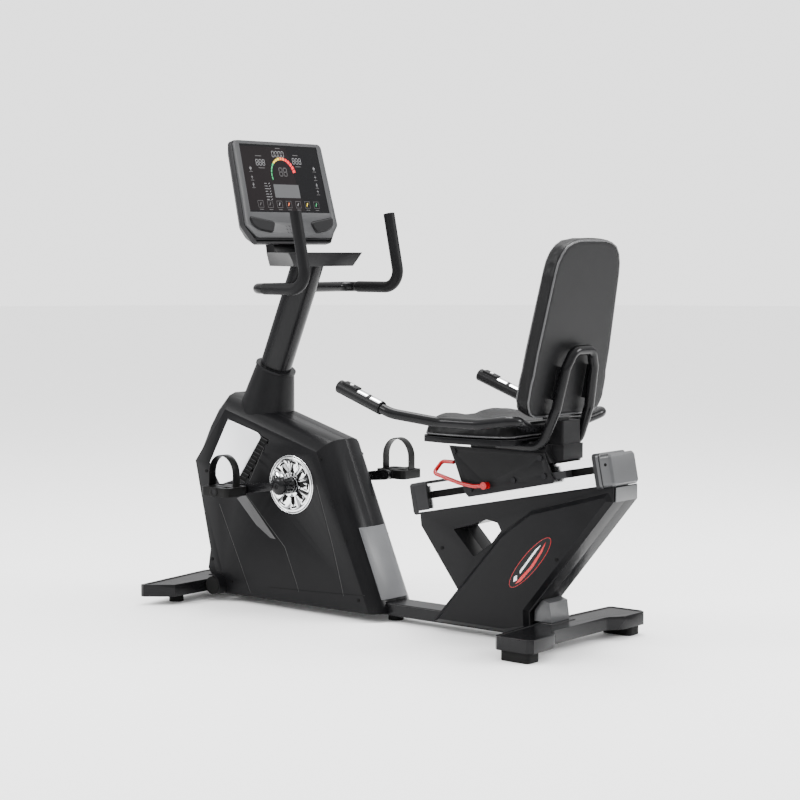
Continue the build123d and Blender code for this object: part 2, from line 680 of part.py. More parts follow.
def boot_cone(radius_shift):
    """Tapered collar around the mast, wide at the casing."""
    with BuildPart() as cone:
        lean_dir = (BOOT_TOP - BOOT_BASE).normalized()
        with BuildSketch(Plane(origin=BOOT_BASE, x_dir=(0, 1, 0), z_dir=lean_dir)):
            Circle(BOOT_LOW_RADIUS + radius_shift)
        with BuildSketch(Plane(origin=BOOT_TOP, x_dir=(0, 1, 0), z_dir=mast_dir)):
            Circle(BOOT_HIGH_RADIUS + radius_shift)
        loft()
    return cone.part


with BuildPart() as mast_boot:
    add(boot_cone(0))
    with BuildSketch(Plane(origin=BOOT_TOP, x_dir=(0, 1, 0), z_dir=mast_dir)):
        Circle(BOOT_HIGH_RADIUS + 3)
    extrude(amount=6)
    add(boot_cone(-BOOT_WALL), mode=Mode.SUBTRACT)
    with BuildSketch(Plane(origin=MAST_LOW - mast_dir * 40, x_dir=(0, 1, 0), z_dir=mast_dir)):
        Circle(MAST_RADIUS + 0.3)
    extrude(amount=300, mode=Mode.SUBTRACT)
    add(casing_block(GAP), mode=Mode.SUBTRACT)
save(mast_boot, "mast_boot")

BAR_HALF, BAR_REAR, BAR_TIP = 204.0, -151.0, Vector(-194, -204, 1150)


def bar_route():
    """Centre line of the front handlebar, from the left grip's top to the right one's."""
    left = [
        (BAR_TIP.X, -BAR_HALF, BAR_TIP.Z), (BAR_REAR, -BAR_HALF, BAR_Z),
        (bar_x, -BAR_HALF, BAR_Z),
    ]
    right = [(x, -y, z) for x, y, z in reversed(left)]
    return FilletPolyline(*left, *right, radius=[48, 42, 42, 48])


with BuildPart() as front_handlebar:
    with BuildLine():
        route = bar_route()
    with BuildSketch(Plane(origin=route @ 0, z_dir=route % 0)):
        Circle(BAR_RADIUS)
        Circle(BAR_RADIUS - TUBE_WALL, mode=Mode.SUBTRACT)
    sweep()
save(front_handlebar, "front_handlebar")

with BuildPart() as front_grips:
    for side in (-1, 1):
        points = [
            (BAR_TIP.X, side * BAR_HALF, BAR_TIP.Z),
            (BAR_REAR, side * BAR_HALF, BAR_Z),
            (bar_x + 48, side * BAR_HALF, BAR_Z),
        ]
        with BuildLine() as grip_line:
            grip_route = FilletPolyline(*points, radius=48)
        with BuildSketch(Plane(origin=grip_route @ 0, z_dir=grip_route % 0)):
            Circle(BAR_RADIUS + GRIP_THICK)
            Circle(BAR_RADIUS + 0.05, mode=Mode.SUBTRACT)
        sweep(path=grip_line.line)
        cap_dir = (Vector(*points[0]) - Vector(*points[1])).normalized()
        with BuildSketch(Plane(origin=points[0], z_dir=cap_dir)):
            Circle(BAR_RADIUS + GRIP_THICK)
        extrude(amount=4)
save(front_grips, "front_grips")

TRAY_LOW, TRAY_HIGH = 1000.2, 1040.0
with BuildPart() as accessory_tray:
    with BuildSketch(Plane.XY.offset(TRAY_LOW)):
        Polygon((-436, -52), (-268, -127), (-268, 127), (-436, 52), align=None)
    with BuildSketch(Plane.XY.offset(TRAY_HIGH)):
        Polygon((-446, -55), (-260, -160), (-260, 160), (-446, 55), align=None)
    loft(ruled=True)
    with BuildSketch(Plane.XY.offset(TRAY_LOW + 5)):
        Polygon((-400, -62), (-272, -122), (-272, 122), (-400, 62), align=None)
    with BuildSketch(Plane.XY.offset(TRAY_HIGH + 1)):
        Polygon((-404, -70), (-266, -151), (-266, 151), (-404, 70), align=None)
    loft(ruled=True, mode=Mode.SUBTRACT)
    # neck up to the console
    with BuildSketch(Plane.XZ):
        Polygon((-446, 1039), (-457, 1112), (-428, 1104), (-412, 1039), align=None)
    extrude(amount=54, both=True)
save(accessory_tray, "accessory_tray")

# ---------------------------------------------------------------- console

BEZEL_DEEP, SCREEN_DEEP, HOUSING_DEEP = 7.8, 6.3, 8.0
CONSOLE_PLANE = Plane(
    origin=CONSOLE_CENTRE,
    x_dir=(0, 1, 0),
    z_dir=(cos(radians(CONSOLE_TILT)), 0, sin(radians(CONSOLE_TILT))),
)
SCREEN = [(-171, -60), (171, -60), (166, 142), (-166, 142)]
KEYPAD = [(-180, -74), (-76, -90), (-94, -122), (-150, -113), (-175, -98)]


def console_outline(shift, chin):
    """Outline of the console seen from its front, with rounded corners."""
    Polygon(
        (-187 - shift, 152 + shift), (187 + shift, 152 + shift), (197 + shift, -98),
        (160, -chin), (-160, -chin), (-197 - shift, -98), align=None,
    )


with BuildPart() as console_housing:
    with BuildSketch(CONSOLE_PLANE.offset(-HOUSING_DEEP)) as front_face:
        console_outline(1.5, 152)
        fillet(front_face.vertices(), 16)
    extrude(amount=-16)
    with BuildSketch(CONSOLE_PLANE.offset(-24)) as rear_face_a:
        console_outline(1.5, 152)
        fillet(rear_face_a.vertices(), 16)
    with BuildSketch(CONSOLE_PLANE.offset(-46)) as rear_face_b:
        console_outline(-16, 132)
        fillet(rear_face_b.vertices(), 16)
    loft(ruled=True)
    with BuildSketch(CONSOLE_PLANE.offset(-HOUSING_DEEP)) as cavity:
        console_outline(-3, 146)
        fillet(cavity.vertices(), 12)
    extrude(amount=-18, mode=Mode.SUBTRACT)
    with BuildSketch(CONSOLE_PLANE.offset(-26)) as cavity_floor:
        console_outline(-24, 124)
    extrude(amount=-16, mode=Mode.SUBTRACT)
    for side in (-1, 1):
        with BuildSketch(CONSOLE_PLANE.offset(-12)) as keypad_face:
            Polygon(*[(-side * x, y) for x, y in KEYPAD], align=None)
            fillet(keypad_face.vertices(), 7)
        extrude(amount=14)
    # web that joins the two pads to the side walls
    with BuildSketch(CONSOLE_PLANE.offset(-12)):
        Polygon((-194, -86), (194, -86), (194, -97), (160, -140), (-160, -140), (-194, -97),
                align=None)
    extrude(amount=2)
    add(accessory_tray.part, mode=Mode.SUBTRACT)
save(console_housing, "console_housing")

with BuildPart() as console_bezel:
    with BuildSketch(CONSOLE_PLANE.offset(-BEZEL_DEEP)) as bezel_face:
        console_outline(0, 136)
        fillet(bezel_face.vertices(), 16)
        Polygon(*grown(SCREEN, 0.3), align=None, mode=Mode.SUBTRACT)
    extrude(amount=BEZEL_DEEP)
    for side in (-1, 1):
        with BuildSketch(CONSOLE_PLANE.offset(-14)) as keypad_hole:
            Polygon(*grown([(-side * x, y) for x, y in KEYPAD], 0.4), align=None)
            fillet(keypad_hole.vertices(), 7)
        extrude(amount=20, mode=Mode.SUBTRACT)
save(console_bezel, "console_bezel")

with BuildPart() as console_screen:
    with BuildSketch(CONSOLE_PLANE.offset(-BEZEL_DEEP)):
        Polygon(*SCREEN, align=None)
    extrude(amount=SCREEN_DEEP)
save(console_screen, "console_screen")

# ---------------------------------------------------------------- rear frame, rail and shroud

STRUT_WALL = 3.5
with BuildPart() as rear_frame:
    for low, high, width in (
        (Vector(345, 0, BEAM_TOP - 12), rail_point(62, 12), 40),
        (Vector(448, 0, BEAM_TOP - 12), rail_point(572, 12), 38),
    ):
        strut = Vector(*high) - low
        with BuildSketch(Plane(origin=low, x_dir=(0, 1, 0), z_dir=strut.normalized())):
            RectangleRounded(70, width, 5)
            RectangleRounded(70 - 2 * STRUT_WALL, width - 2 * STRUT_WALL, 2, mode=Mode.SUBTRACT)
        extrude(amount=strut.length)
    with BuildSketch(Plane.XY.offset(BEAM_TOP)):
        with Locations((404, 0)):
            Rectangle(190, 80)
    extrude(amount=6)
    with BuildSketch(Plane.XY):
        with Locations((400, 0)):
            Rectangle(400, 200)
    extrude(amount=BEAM_TOP, mode=Mode.SUBTRACT)
    with BuildSketch(RAIL_PLANE):
        with Locations((350, 150)):
            Rectangle(1000, 300)
    extrude(amount=100, both=True, mode=Mode.SUBTRACT)
save(rear_frame, "rear_frame")

with BuildPart() as rail:
    with BuildSketch(rail_section_plane(RAIL_START)):
        with Locations((0, RAIL_TOP / 2)):
            Rectangle(2 * RAIL_HALF, RAIL_TOP)
        with Locations((0, FLANGE_HIGH / 2)):
            Rectangle(2 * FLANGE_HALF, FLANGE_HIGH)
        with Locations((0, RAIL_TOP - 3)):
            Rectangle(2 * (RAIL_HALF + 5), 6)
        for side in (-1, 1):
            with Locations((side * (RAIL_HALF + GROOVE_FLOOR) / 2, (GROOVE_LOW + GROOVE_HIGH) / 2)):
                Rectangle(RAIL_HALF - GROOVE_FLOOR, GROOVE_HIGH - GROOVE_LOW, mode=Mode.SUBTRACT)
            for height in (14, 20, 26, 60, 65):
                with Locations((side * RAIL_HALF, height)):
                    Rectangle(2.4, 1.6, mode=Mode.SUBTRACT)
            with Locations((side * 17.5, RAIL_TOP / 2)):
                RectangleRounded(30, RAIL_TOP - 12, 3, mode=Mode.SUBTRACT)
        for offset in (-40, -24, 24, 40):
            with Locations((offset, RAIL_TOP)):
                Rectangle(2, 2.4, mode=Mode.SUBTRACT)
    extrude(amount=RAIL_END - RAIL_START)
    # row of latch holes in the right groove
    with BuildSketch(Plane(origin=rail_point(0, 0, 20), x_dir=RAIL_PLANE.x_dir, z_dir=(0, 1, 0))):
        for step in range(-5, 4):
            with Locations((rail_u(LATCH_X, GROOVE_MID) + LATCH_STEP * step, -GROOVE_MID)):
                Circle(LOCK_PIN_RADIUS + 0.6)
    extrude(amount=60, mode=Mode.SUBTRACT)
save(rail, "rail")

with BuildPart() as rail_cap_front:
    with BuildSketch(rail_section_plane(0)):
        with Locations((0, 38)):
            RectangleRounded(124, 88, 10)
    extrude(amount=RAIL_START)
    chamfer(rail_cap_front.faces().sort_by(Axis.X)[0].edges(), 3)
save(rail_cap_front, "rail_cap_front")

with BuildPart() as rail_cap_rear:
    with BuildSketch(rail_section_plane(RAIL_END)):
        with Locations((0, 38)):
            RectangleRounded(126, 92, 12)
    extrude(amount=REAR_CAP_BAND)
    with BuildSketch(rail_section_plane(RAIL_END + REAR_CAP_BAND)):
        with Locations((0, 36)):
            RectangleRounded(122, 86, 12)
    extrude(amount=RAIL_LENGTH - RAIL_END - REAR_CAP_BAND)
    chamfer(rail_cap_rear.faces().sort_by(Axis.X)[-1].edges(), 6)
save(rail_cap_rear, "rail_cap_rear")

with BuildPart() as rail_stops:
    for side in (-1, 1):
        with BuildSketch(rail_section_plane(RAIL_START + 3)):
            with Locations((side * (GROOVE_FLOOR + 9.2), (GROOVE_LOW + GROOVE_HIGH) / 2)):
                Rectangle(18, GROOVE_HIGH - GROOVE_LOW - 0.4)
        extrude(amount=38)
save(rail_stops, "rail_stops")

CAP_CLEAR = 1.0                      # shroud's front corner to the rail's front cap
SHROUD = [
    rail_point(RAIL_START + CAP_CLEAR, -GAP)[::2], (136, 288), (264, 123), (180, 26), (430, 22),
    (509, 39), (506, 88), (538, 127), (768, 404), rail_point(668, -GAP)[::2],
]
SHROUD_HOLE = [(249, 288), (300, 302), (362, 324), (398, 318), (410, 298), (380, 262), (318, 219)]
PANEL = [
    (184, 25), (264, 123), (412, 290), (510, 361), (752, 428), (766, 404), (537, 130),
    (504, 90), (506, 42), (430, 24),
]
PANEL_TAPER = 12.0


def shroud_block(outline, hole, low, high):
    """Extruded side outline with its see-through opening, from y low to y high."""
    with BuildPart() as block:
        with BuildSketch(side_plane(high)):
            Polygon(*outline, align=None)
            Polygon(*hole, align=None, mode=Mode.SUBTRACT)
        extrude(amount=high - low)
    return block.part


with BuildPart() as shroud:
    add(shroud_block(SHROUD, SHROUD_HOLE, -SHROUD_HALF, SHROUD_HALF))
    for side in (-1, 1):
        with BuildSketch(side_plane(side * (SHROUD_HALF - 0.5))) as panel_low:
            Polygon(*PANEL, align=None)
        with BuildSketch(side_plane(side * SHROUD_RAISED)) as panel_high:
            Polygon(*grown(PANEL, -PANEL_TAPER), align=None)
        loft(ruled=True)
    cavity_half = SHROUD_HALF - SHROUD_WALL
    add(
        shroud_block(grown(SHROUD, -SHROUD_WALL), grown(SHROUD_HOLE, SHROUD_WALL),
                     -cavity_half, cavity_half),
        mode=Mode.SUBTRACT,
    )
    with BuildSketch(side_plane(SHROUD_RAISED - SHROUD_WALL)):
        Polygon(*grown(PANEL, -PANEL_TAPER - 6), align=None)
    extrude(amount=2 * (SHROUD_RAISED - SHROUD_WALL), mode=Mode.SUBTRACT)
    # way in for the beam from below and for the struts from above
    with BuildSketch(Plane.YZ.offset(150)):
        with Locations((0, 28)):
            Rectangle(2 * BEAM_HALF_WIDTH + 1, 64.4)
    extrude(amount=380, mode=Mode.SUBTRACT)
    with BuildSketch(RAIL_PLANE):
        with Locations((327, 10)):
            Rectangle(586, 32)
    extrude(amount=46, both=True, mode=Mode.SUBTRACT)
    # room for the rail's rear cap, which reaches below the rail
    with BuildSketch(rail_section_plane(RAIL_END - GAP)):
        with Locations((0, 38)):
            Rectangle(160, 92 + 2 * GAP)
    extrude(amount=90, mode=Mode.SUBTRACT)

with BuildPart() as shroud_left:
    add(shroud.part)
    split(bisect_by=Plane.XZ.offset(GAP / 2), keep=Keep.TOP)
save(shroud_left, "shroud_left")

with BuildPart() as shroud_right:
    add(shroud.part)
    split(bisect_by=Plane.XZ.offset(-GAP / 2), keep=Keep.BOTTOM)
save(shroud_right, "shroud_right")

with BuildPart() as post_covers:
    with BuildSketch(Plane.XZ):
        Polygon((511, STAB_REAR_TOP + GAP), (567, STAB_REAR_TOP + GAP), (560, 116),
                (537, 123), (512, 92), align=None)
    extrude(amount=42, both=True)
    with BuildSketch(Plane.XZ):
        Polygon((768.4, 404), (772, 404), (772, 440), rail_point(669, -9)[::2], align=None)
    extrude(amount=50, both=True)
    with BuildSketch(rail_section_plane(RAIL_END)):
        with Locations((0, 36)):
            Rectangle(126.4, 92.4)
    extrude(amount=90, mode=Mode.SUBTRACT)
save(post_covers, "post_covers")

# ---------------------------------------------------------------- seat carriage

PLATE = [
    (249, PLATE_TOP), (267, 479), (303, 394), (316, 383), (590, 441), (597, 452),
    (588, 462), (563, PLATE_TOP),
]
BOLT_HOLE = 4.1
BOLT_SPOTS = [(267, 505), (552, 505), (466, 440), (565, 459), (322, 405)]


def make_plate(side, node):
    """Steel side plate that hangs beside the rail."""
    y = side * PLATE_INNER
    with BuildPart() as plate:
        with BuildSketch(side_plane(y)) as plate_face:
            Polygon(*PLATE, align=None)
            fillet(plate_face.vertices().group_by(Axis.Y)[0], 6)
            for x, z in BOLT_SPOTS:
                with Locations((x, z)):
                    Circle(BOLT_HOLE, mode=Mode.SUBTRACT)
        extrude(amount=-side * PLATE_THICK)
        spot = LEVER_AXIS if side < 0 else rail_point(rail_u(LATCH_X, GROOVE_MID), GROOVE_MID)[::2]
        radius = LEVER_PIN if side < 0 else LOCK_PIN_RADIUS
        with BuildSketch(along_y(*spot, -100)):
            Circle(radius + RUN)
        extrude(amount=200, mode=Mode.SUBTRACT)
    save(plate, node)


make_plate(-1, "carriage_plate_left")
make_plate(1, "carriage_plate_right")

with BuildPart() as slide_shoes:
    for side in (-1, 1):
        for x, length in ((322, 44), (466, 44), (600, 58)):
            u = rail_u(x, GROOVE_MID)
            low = GROOVE_FLOOR + 0.4
            with BuildSketch(rail_section_plane(u - length / 2)):
                with Locations((side * (low + PLATE_INNER) / 2, GROOVE_MID)):
                    Rectangle(PLATE_INNER - low, GROOVE_HIGH - GROOVE_LOW - 0.8)
            extrude(amount=length)
    # latch pin passes between the right-hand shoes; bolts pass through them
    for x, z in BOLT_SPOTS[2:]:
        with BuildSketch(along_y(x, z, -100)):
            Circle(BOLT_HOLE)
        extrude(amount=200, mode=Mode.SUBTRACT)
save(slide_shoes, "slide_shoes")

with BuildPart() as carriage_block:
    with BuildSketch(Plane.XZ):
        Polygon((318, 446), (318, PAN_BOTTOM), (500, PAN_BOTTOM), (500, 540), (604, 540),
                (604, 500), (584, 494), align=None)
    extrude(amount=PLATE_INNER, both=True)
    with BuildSketch(Plane.XZ):
        Polygon((324, 456), (324, PAN_BOTTOM - 5), (494, PAN_BOTTOM - 5), (494, 485), align=None)
    extrude(amount=PLATE_INNER - 6, both=True, mode=Mode.SUBTRACT)
    for side in (-1, 1):
        with BuildSketch(side_plane(side * 45)):
            Polygon((565, 520), (565, 560), (640, 560), (640, 470), (598, 470), align=None)
        extrude(amount=-side * 60, mode=Mode.SUBTRACT)
    # post behind the seat, with a clamp for the handlebar's crossbar
    with BuildSketch(Plane.XY.offset(530)):
        with Locations((572, 0)):
            RectangleRounded(54, 82, 6)
    extrude(amount=72)
    with BuildSketch(Plane.XY.offset(CROSSBAR[1] - 20)):
        with Locations((548, 0)):
            Rectangle(44, 60)
    extrude(amount=38)
    with BuildSketch(along_y(*CROSSBAR, -60)):
        Circle(SEAT_TUBE + RUN)
    extrude(amount=120, mode=Mode.SUBTRACT)
    for side in (-1, 1):
        with BuildSketch(side_plane(side * PLATE_INNER)):
            for x, z in BOLT_SPOTS[1:2]:
                with Locations((x, z)):
                    Circle(BOLT_HOLE)
        extrude(amount=side * 9, mode=Mode.SUBTRACT)
save(carriage_block, "carriage_block")

with BuildPart() as carriage_bolts:
    for side in (-1, 1):
        outer = side * (PLATE_INNER + PLATE_THICK)
        for x, z in BOLT_SPOTS:
            with BuildSketch(side_plane(outer)):
                with Locations((x, z)):
                    Circle(7.5)
            extrude(amount=-side * 4)
            with BuildSketch(side_plane(outer)):
                with Locations((x, z)):
                    Circle(4)
            extrude(amount=side * (PLATE_THICK - 0.2))
save(carriage_bolts, "carriage_bolts")

with BuildPart() as release_lever:
    with BuildLine() as lever_line:
        FilletPolyline(
            (LEVER_AXIS[0], -90, LEVER_AXIS[1]), (345, -90, 416), (300, -90, 420), (207, -90, 442),
            (212, -58, 472), (252, -58, 472), radius=[20, 60, 12, 10],
        )
    with BuildSketch(Plane(origin=lever_line.line @ 0, z_dir=lever_line.line % 0)):
        Circle(LEVER_ROD)
    sweep(path=lever_line.line)
    with BuildSketch(along_y(*LEVER_AXIS, -95)):
        Circle(LEVER_PIN + 4)
    extrude(amount=18)
    with BuildSketch(along_y(*LEVER_AXIS, -78)):
        Circle(LEVER_PIN)
    extrude(amount=12)
save(release_lever, "release_lever")

PIN_SPOT = rail_point(rail_u(LATCH_X, GROOVE_MID), GROOVE_MID)
PIN_TIP, PIN_END = GROOVE_FLOOR + 0.5, 86.0
with BuildPart() as lock_pin:
    # the tip stands just short of its hole in the rail, so that the seat is free to slide
    with BuildSketch(along_y(PIN_SPOT[0], PIN_SPOT[2], PIN_TIP)):
        Circle(LOCK_PIN_RADIUS)
    extrude(amount=PIN_END - PIN_TIP)
    with BuildSketch(along_y(PIN_SPOT[0], PIN_SPOT[2], 77)):
        Circle(11)
    extrude(amount=9)
save(lock_pin, "lock_pin")

# ---------------------------------------------------------------- seat

SEAT_HALF = [(226, 0), (224, -90), (234, -165), (260, -198), (330, -206), (430, -200),
             (500, -180), (522, -150), (524, 0)]
SEAT_OUTLINE = SEAT_HALF + [(x, -y) for x, y in reversed(SEAT_HALF[1:-1])]
with BuildPart() as seat_pan:
    with BuildSketch(Plane.XY.offset(PAN_BOTTOM)):
        Polygon(*SEAT_OUTLINE, align=None)
    extrude(amount=PAN_TOP - PAN_BOTTOM)
    with BuildSketch(Plane.XY.offset(PAN_BOTTOM - 10)):
        Polygon(*SEAT_OUTLINE, align=None)
        Polygon(*grown(SEAT_OUTLINE, -8), align=None, mode=Mode.SUBTRACT)
        with Locations((520, 0)):
            Rectangle(60, 240, mode=Mode.SUBTRACT)
    extrude(amount=10)
save(seat_pan, "seat_pan")

with BuildPart() as seat_cushion:
    with BuildSketch(Plane.XY.offset(PAN_TOP)):
        Polygon(*grown(SEAT_OUTLINE, -2), align=None)
    extrude(amount=CUSHION_WALL)
    with BuildSketch(Plane.XY.offset(PAN_TOP + CUSHION_WALL)):
        Polygon(*grown(SEAT_OUTLINE, -2), align=None)
    with BuildSketch(Plane.XY.offset(PAN_TOP + CUSHION_HIGH)):
        Polygon(*grown(SEAT_OUTLINE, -34), align=None)
    loft(ruled=True)
    with BuildSketch(side_plane(250)):
        Polygon((440, 700), (440, 606), (600, 582), (600, 700), align=None)
    extrude(amount=500, mode=Mode.SUBTRACT)
save(seat_cushion, "seat_cushion")

HANDLE_TIP, HANDLE_BEND = Vector(66, 311, 683), Vector(240, 311, 621)
HANDLE_MID = [(345, 250, 600), (470, 236, 599), (566, 206, 612), (CROSSBAR[0], 128, CROSSBAR[1])]


def handle_points(side):
    """Centre line of one side of the seat handlebar, from its tip to the crossbar."""
    points = [tuple(HANDLE_TIP), tuple(HANDLE_BEND), *HANDLE_MID]
    return [(x, side * y, z) for x, y, z in points]


with BuildPart() as seat_handlebar:
    with BuildLine() as handle_line:
        FilletPolyline(
            *handle_points(-1), *reversed(handle_points(1)),
            radius=[60, 70, 70, 26, 26, 26, 26, 70, 70, 60],
        )
    with BuildSketch(Plane(origin=handle_line.line @ 0, z_dir=handle_line.line % 0)):
        Circle(SEAT_TUBE)
        Circle(SEAT_TUBE - TUBE_WALL, mode=Mode.SUBTRACT)
    sweep(path=handle_line.line)
save(seat_handlebar, "seat_handlebar")

GRIP_OUTER, GRIP_LENGTH = 18.0, 150.0
PULSE_SPANS = ((66.0, 100.0), (112.0, 146.0))
BUTTON_AT, BUTTON_RADIUS, BUTTON_TRAVEL = 34.0, 5.5, 1.5


def grip_plane(side, distance):
    """Plane across the seat handle at this distance from its tip; sketch Y points upwards."""
    along = Vector(HANDLE_BEND.X - HANDLE_TIP.X, 0, HANDLE_BEND.Z - HANDLE_TIP.Z).normalized()
    origin = Vector(HANDLE_TIP.X, side * HANDLE_TIP.Y, HANDLE_TIP.Z) + along * distance
    return Plane(origin=origin, x_dir=(0, 1, 0), z_dir=along)


def button_plane(side, height):
    """Plane facing out of the grip's upper surface, at this height above the tube's axis."""
    across = grip_plane(side, BUTTON_AT)
    return Plane(origin=across.origin + across.y_dir * height, x_dir=(0, 1, 0), z_dir=across.y_dir)


with BuildPart() as seat_grips:
    for side in (-1, 1):
        with BuildSketch(grip_plane(side, 0)):
            Circle(GRIP_OUTER)
            Circle(SEAT_TUBE + 0.05, mode=Mode.SUBTRACT)
        extrude(amount=GRIP_LENGTH)
        with BuildSketch(grip_plane(side, 0)):
            Circle(GRIP_OUTER)
        extrude(amount=-4)
        with BuildSketch(button_plane(side, SEAT_TUBE + 1.5)):
            Rectangle(24, 50)
        extrude(amount=4.5)
        with BuildSketch(button_plane(side, SEAT_TUBE + 0.3)):
            Circle(BUTTON_RADIUS + 0.1)
        extrude(amount=12, mode=Mode.SUBTRACT)
        for low, high in PULSE_SPANS:
            with BuildSketch(grip_plane(side, low)):
                Circle(GRIP_OUTER + 2)
                Circle(GRIP_OUTER - 1, mode=Mode.SUBTRACT)
                with Locations((0, -16)):
                    Rectangle(60, 22, mode=Mode.SUBTRACT)
            extrude(amount=high - low, mode=Mode.SUBTRACT)
save(seat_grips, "seat_grips")

with BuildPart() as pulse_plates:
    for side in (-1, 1):
        for low, high in PULSE_SPANS:
            with BuildSketch(grip_plane(side, low + 0.2)):
                Circle(GRIP_OUTER + 0.6)
                Circle(GRIP_OUTER - 0.9, mode=Mode.SUBTRACT)
                with Locations((0, -15.9)):
                    Rectangle(60, 22, mode=Mode.SUBTRACT)
            extrude(amount=high - low - 0.4)
save(pulse_plates, "pulse_plates")


def make_button(side, node):
    """Push button let into the grip, proud of it by a little more than its travel."""
    with BuildPart() as button:
        with BuildSketch(button_plane(side, SEAT_TUBE + 0.3 + BUTTON_TRAVEL + 0.4)):
            Circle(BUTTON_RADIUS)
        extrude(amount=6.0)
        chamfer(button.faces().sort_by(Axis.Z)[-1].edges(), 0.8)
    save(button, node)


make_button(-1, "button_left")
make_button(1, "button_right")

# ---------------------------------------------------------------- backrest

back_up = Vector(sin(radians(BACK_LEAN)), 0, cos(radians(BACK_LEAN)))
back_out = Vector(cos(radians(BACK_LEAN)), 0, -sin(radians(BACK_LEAN)))


def back_point(up, out, y=0.0):
    """World point from distances up and out of the pad's rear face."""
    point = BACK_FOOT + back_up * up + back_out * out
    return (point.X, y, point.Z)


with BuildPart() as backrest_pad:
    with BuildSketch(Plane(origin=BACK_FOOT, x_dir=(0, -1, 0), z_dir=back_out * -1)) as pad_face:
        Polygon((-150, 0), (150, 0), (177, 40), (172, 130), (146, PAD_HEIGHT),
                (-146, PAD_HEIGHT), (-172, 130), (-177, 40), align=None)
        fillet(pad_face.vertices().group_by(Axis.Y)[-1], 42)
        fillet(pad_face.vertices().group_by(Axis.Y)[0], 30)
    extrude(amount=PAD_THICK)
    chamfer(backrest_pad.faces().sort_by(Axis.X)[0].edges(), 10)
save(backrest_pad, "backrest_pad")

LOOP_OUT, LOOP_RADIUS, LOOP_WALL, LUG_Z = 23.0, 13.5, 2.5, 534.5
LOOP_Y = 84.0
with BuildPart() as backrest_loop:
    half_loop = [
        (420, -LOOP_Y, LUG_Z), (560, -LOOP_Y, LUG_Z), back_point(30, LOOP_OUT, -76),
        back_point(140, LOOP_OUT, -64), back_point(186, LOOP_OUT, -40),
    ]
    other_half = [(x, -y, z) for x, y, z in reversed(half_loop)]
    with BuildLine() as loop_line:
        FilletPolyline(*half_loop, *other_half, radius=[42, 30, 34, 30, 30, 34, 30, 42])
    with BuildSketch(Plane(origin=loop_line.line @ 0, z_dir=loop_line.line % 0)):
        Circle(LOOP_RADIUS)
        Circle(LOOP_RADIUS - LOOP_WALL, mode=Mode.SUBTRACT)
    sweep(path=loop_line.line)
    for side in (-1, 1):
        # weld tabs from the tube to the pad, and lugs from the tube to the carriage block
        tab_plane = Plane(origin=back_point(95, 0, side * 68.5), x_dir=(0, 1, 0), z_dir=back_out)
        with BuildSketch(tab_plane):
            Rectangle(5, 90)
        extrude(amount=14)
        with BuildSketch(side_plane(side * PLATE_INNER)):
            with Locations((455, LUG_Z)):
                Rectangle(50, 20)
        extrude(amount=-side * (LOOP_Y - PLATE_INNER))
save(backrest_loop, "backrest_loop")

# ---------------------------------------------------------------- cover screws

SCREW_HEAD, SCREW_PROUD = 5.0, 1.5
CASE_SCREWS = [(-662, 385), (-640, 120), (-560, 60), (-205, 452), (-110, 225), (-62, 60)]
SHROUD_SCREWS = [((210, 232), SHROUD_HALF), ((600, 240), SHROUD_RAISED)]
with BuildPart() as cover_screws:
    for side in (-1, 1):
        for x, z in CASE_SCREWS:
            with BuildSketch(side_plane(side * CASE_HALF)):
                with Locations((x, z)):
                    Circle(SCREW_HEAD)
            extrude(amount=-side * SCREW_PROUD)
        for spot, face in SHROUD_SCREWS:
            with BuildSketch(side_plane(side * face)):
                with Locations(spot):
                    Circle(SCREW_HEAD)
            extrude(amount=-side * SCREW_PROUD)
save(cover_screws, "cover_screws")
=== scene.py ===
"""Looks of the recumbent exercise bike: rounded shells, upholstery, display and procedural finishes.

Everything is in metres in the CAD frame: +X to the back, -Y on the rider's left, +Z up.
MM turns the millimetre sizes that the CAD model uses into metres.
"""

import json
from math import cos, hypot, pi, radians, sin

import bmesh
import bpy
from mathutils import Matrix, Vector
from mathutils.bvhtree import BVHTree


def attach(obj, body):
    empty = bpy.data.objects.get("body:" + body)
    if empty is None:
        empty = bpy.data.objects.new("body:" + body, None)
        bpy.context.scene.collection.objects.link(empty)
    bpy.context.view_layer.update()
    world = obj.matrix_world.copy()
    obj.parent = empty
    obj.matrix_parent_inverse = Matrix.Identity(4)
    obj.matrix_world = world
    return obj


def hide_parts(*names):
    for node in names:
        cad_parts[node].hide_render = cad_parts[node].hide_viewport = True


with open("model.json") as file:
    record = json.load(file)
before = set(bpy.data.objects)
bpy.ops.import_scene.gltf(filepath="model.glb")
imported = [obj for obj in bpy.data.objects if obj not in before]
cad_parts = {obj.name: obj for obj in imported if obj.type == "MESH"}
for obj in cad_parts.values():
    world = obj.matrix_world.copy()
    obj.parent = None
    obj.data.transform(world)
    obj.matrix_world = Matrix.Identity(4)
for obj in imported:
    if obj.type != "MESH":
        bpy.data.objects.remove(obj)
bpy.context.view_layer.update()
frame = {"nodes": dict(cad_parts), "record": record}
NODES = frame["nodes"]
MM = 0.001

# ---------------------------------------------------------------- camera, floor and light

SKY_LIGHT = 2.3
HORIZON_SHADE = (0.22, 0.22, 0.225, 1)
CAMERA_PLACE, CAMERA_TURN, CAMERA_DIP = (3.537, -4.299, 1.06), 39.33, 4.46
CAMERA_LENS, CAMERA_SENSOR = 89.1, 36.0
FLOOR_RADIUS, FLOOR_SHADE = 30, (0.93, 0.93, 0.93, 1)
LIGHT_AIM = Vector((0, 0, 0.6))
SOFT_BOXES = (
    # name, place, size, power
    ("key", (-2.6, -3.6, 3.4), 1.8, 200),
    ("rim", (3.6, 2.2, 2.2), 1.6, 160),
    ("top", (0.0, 0.6, 4.4), 2.2, 260),
)


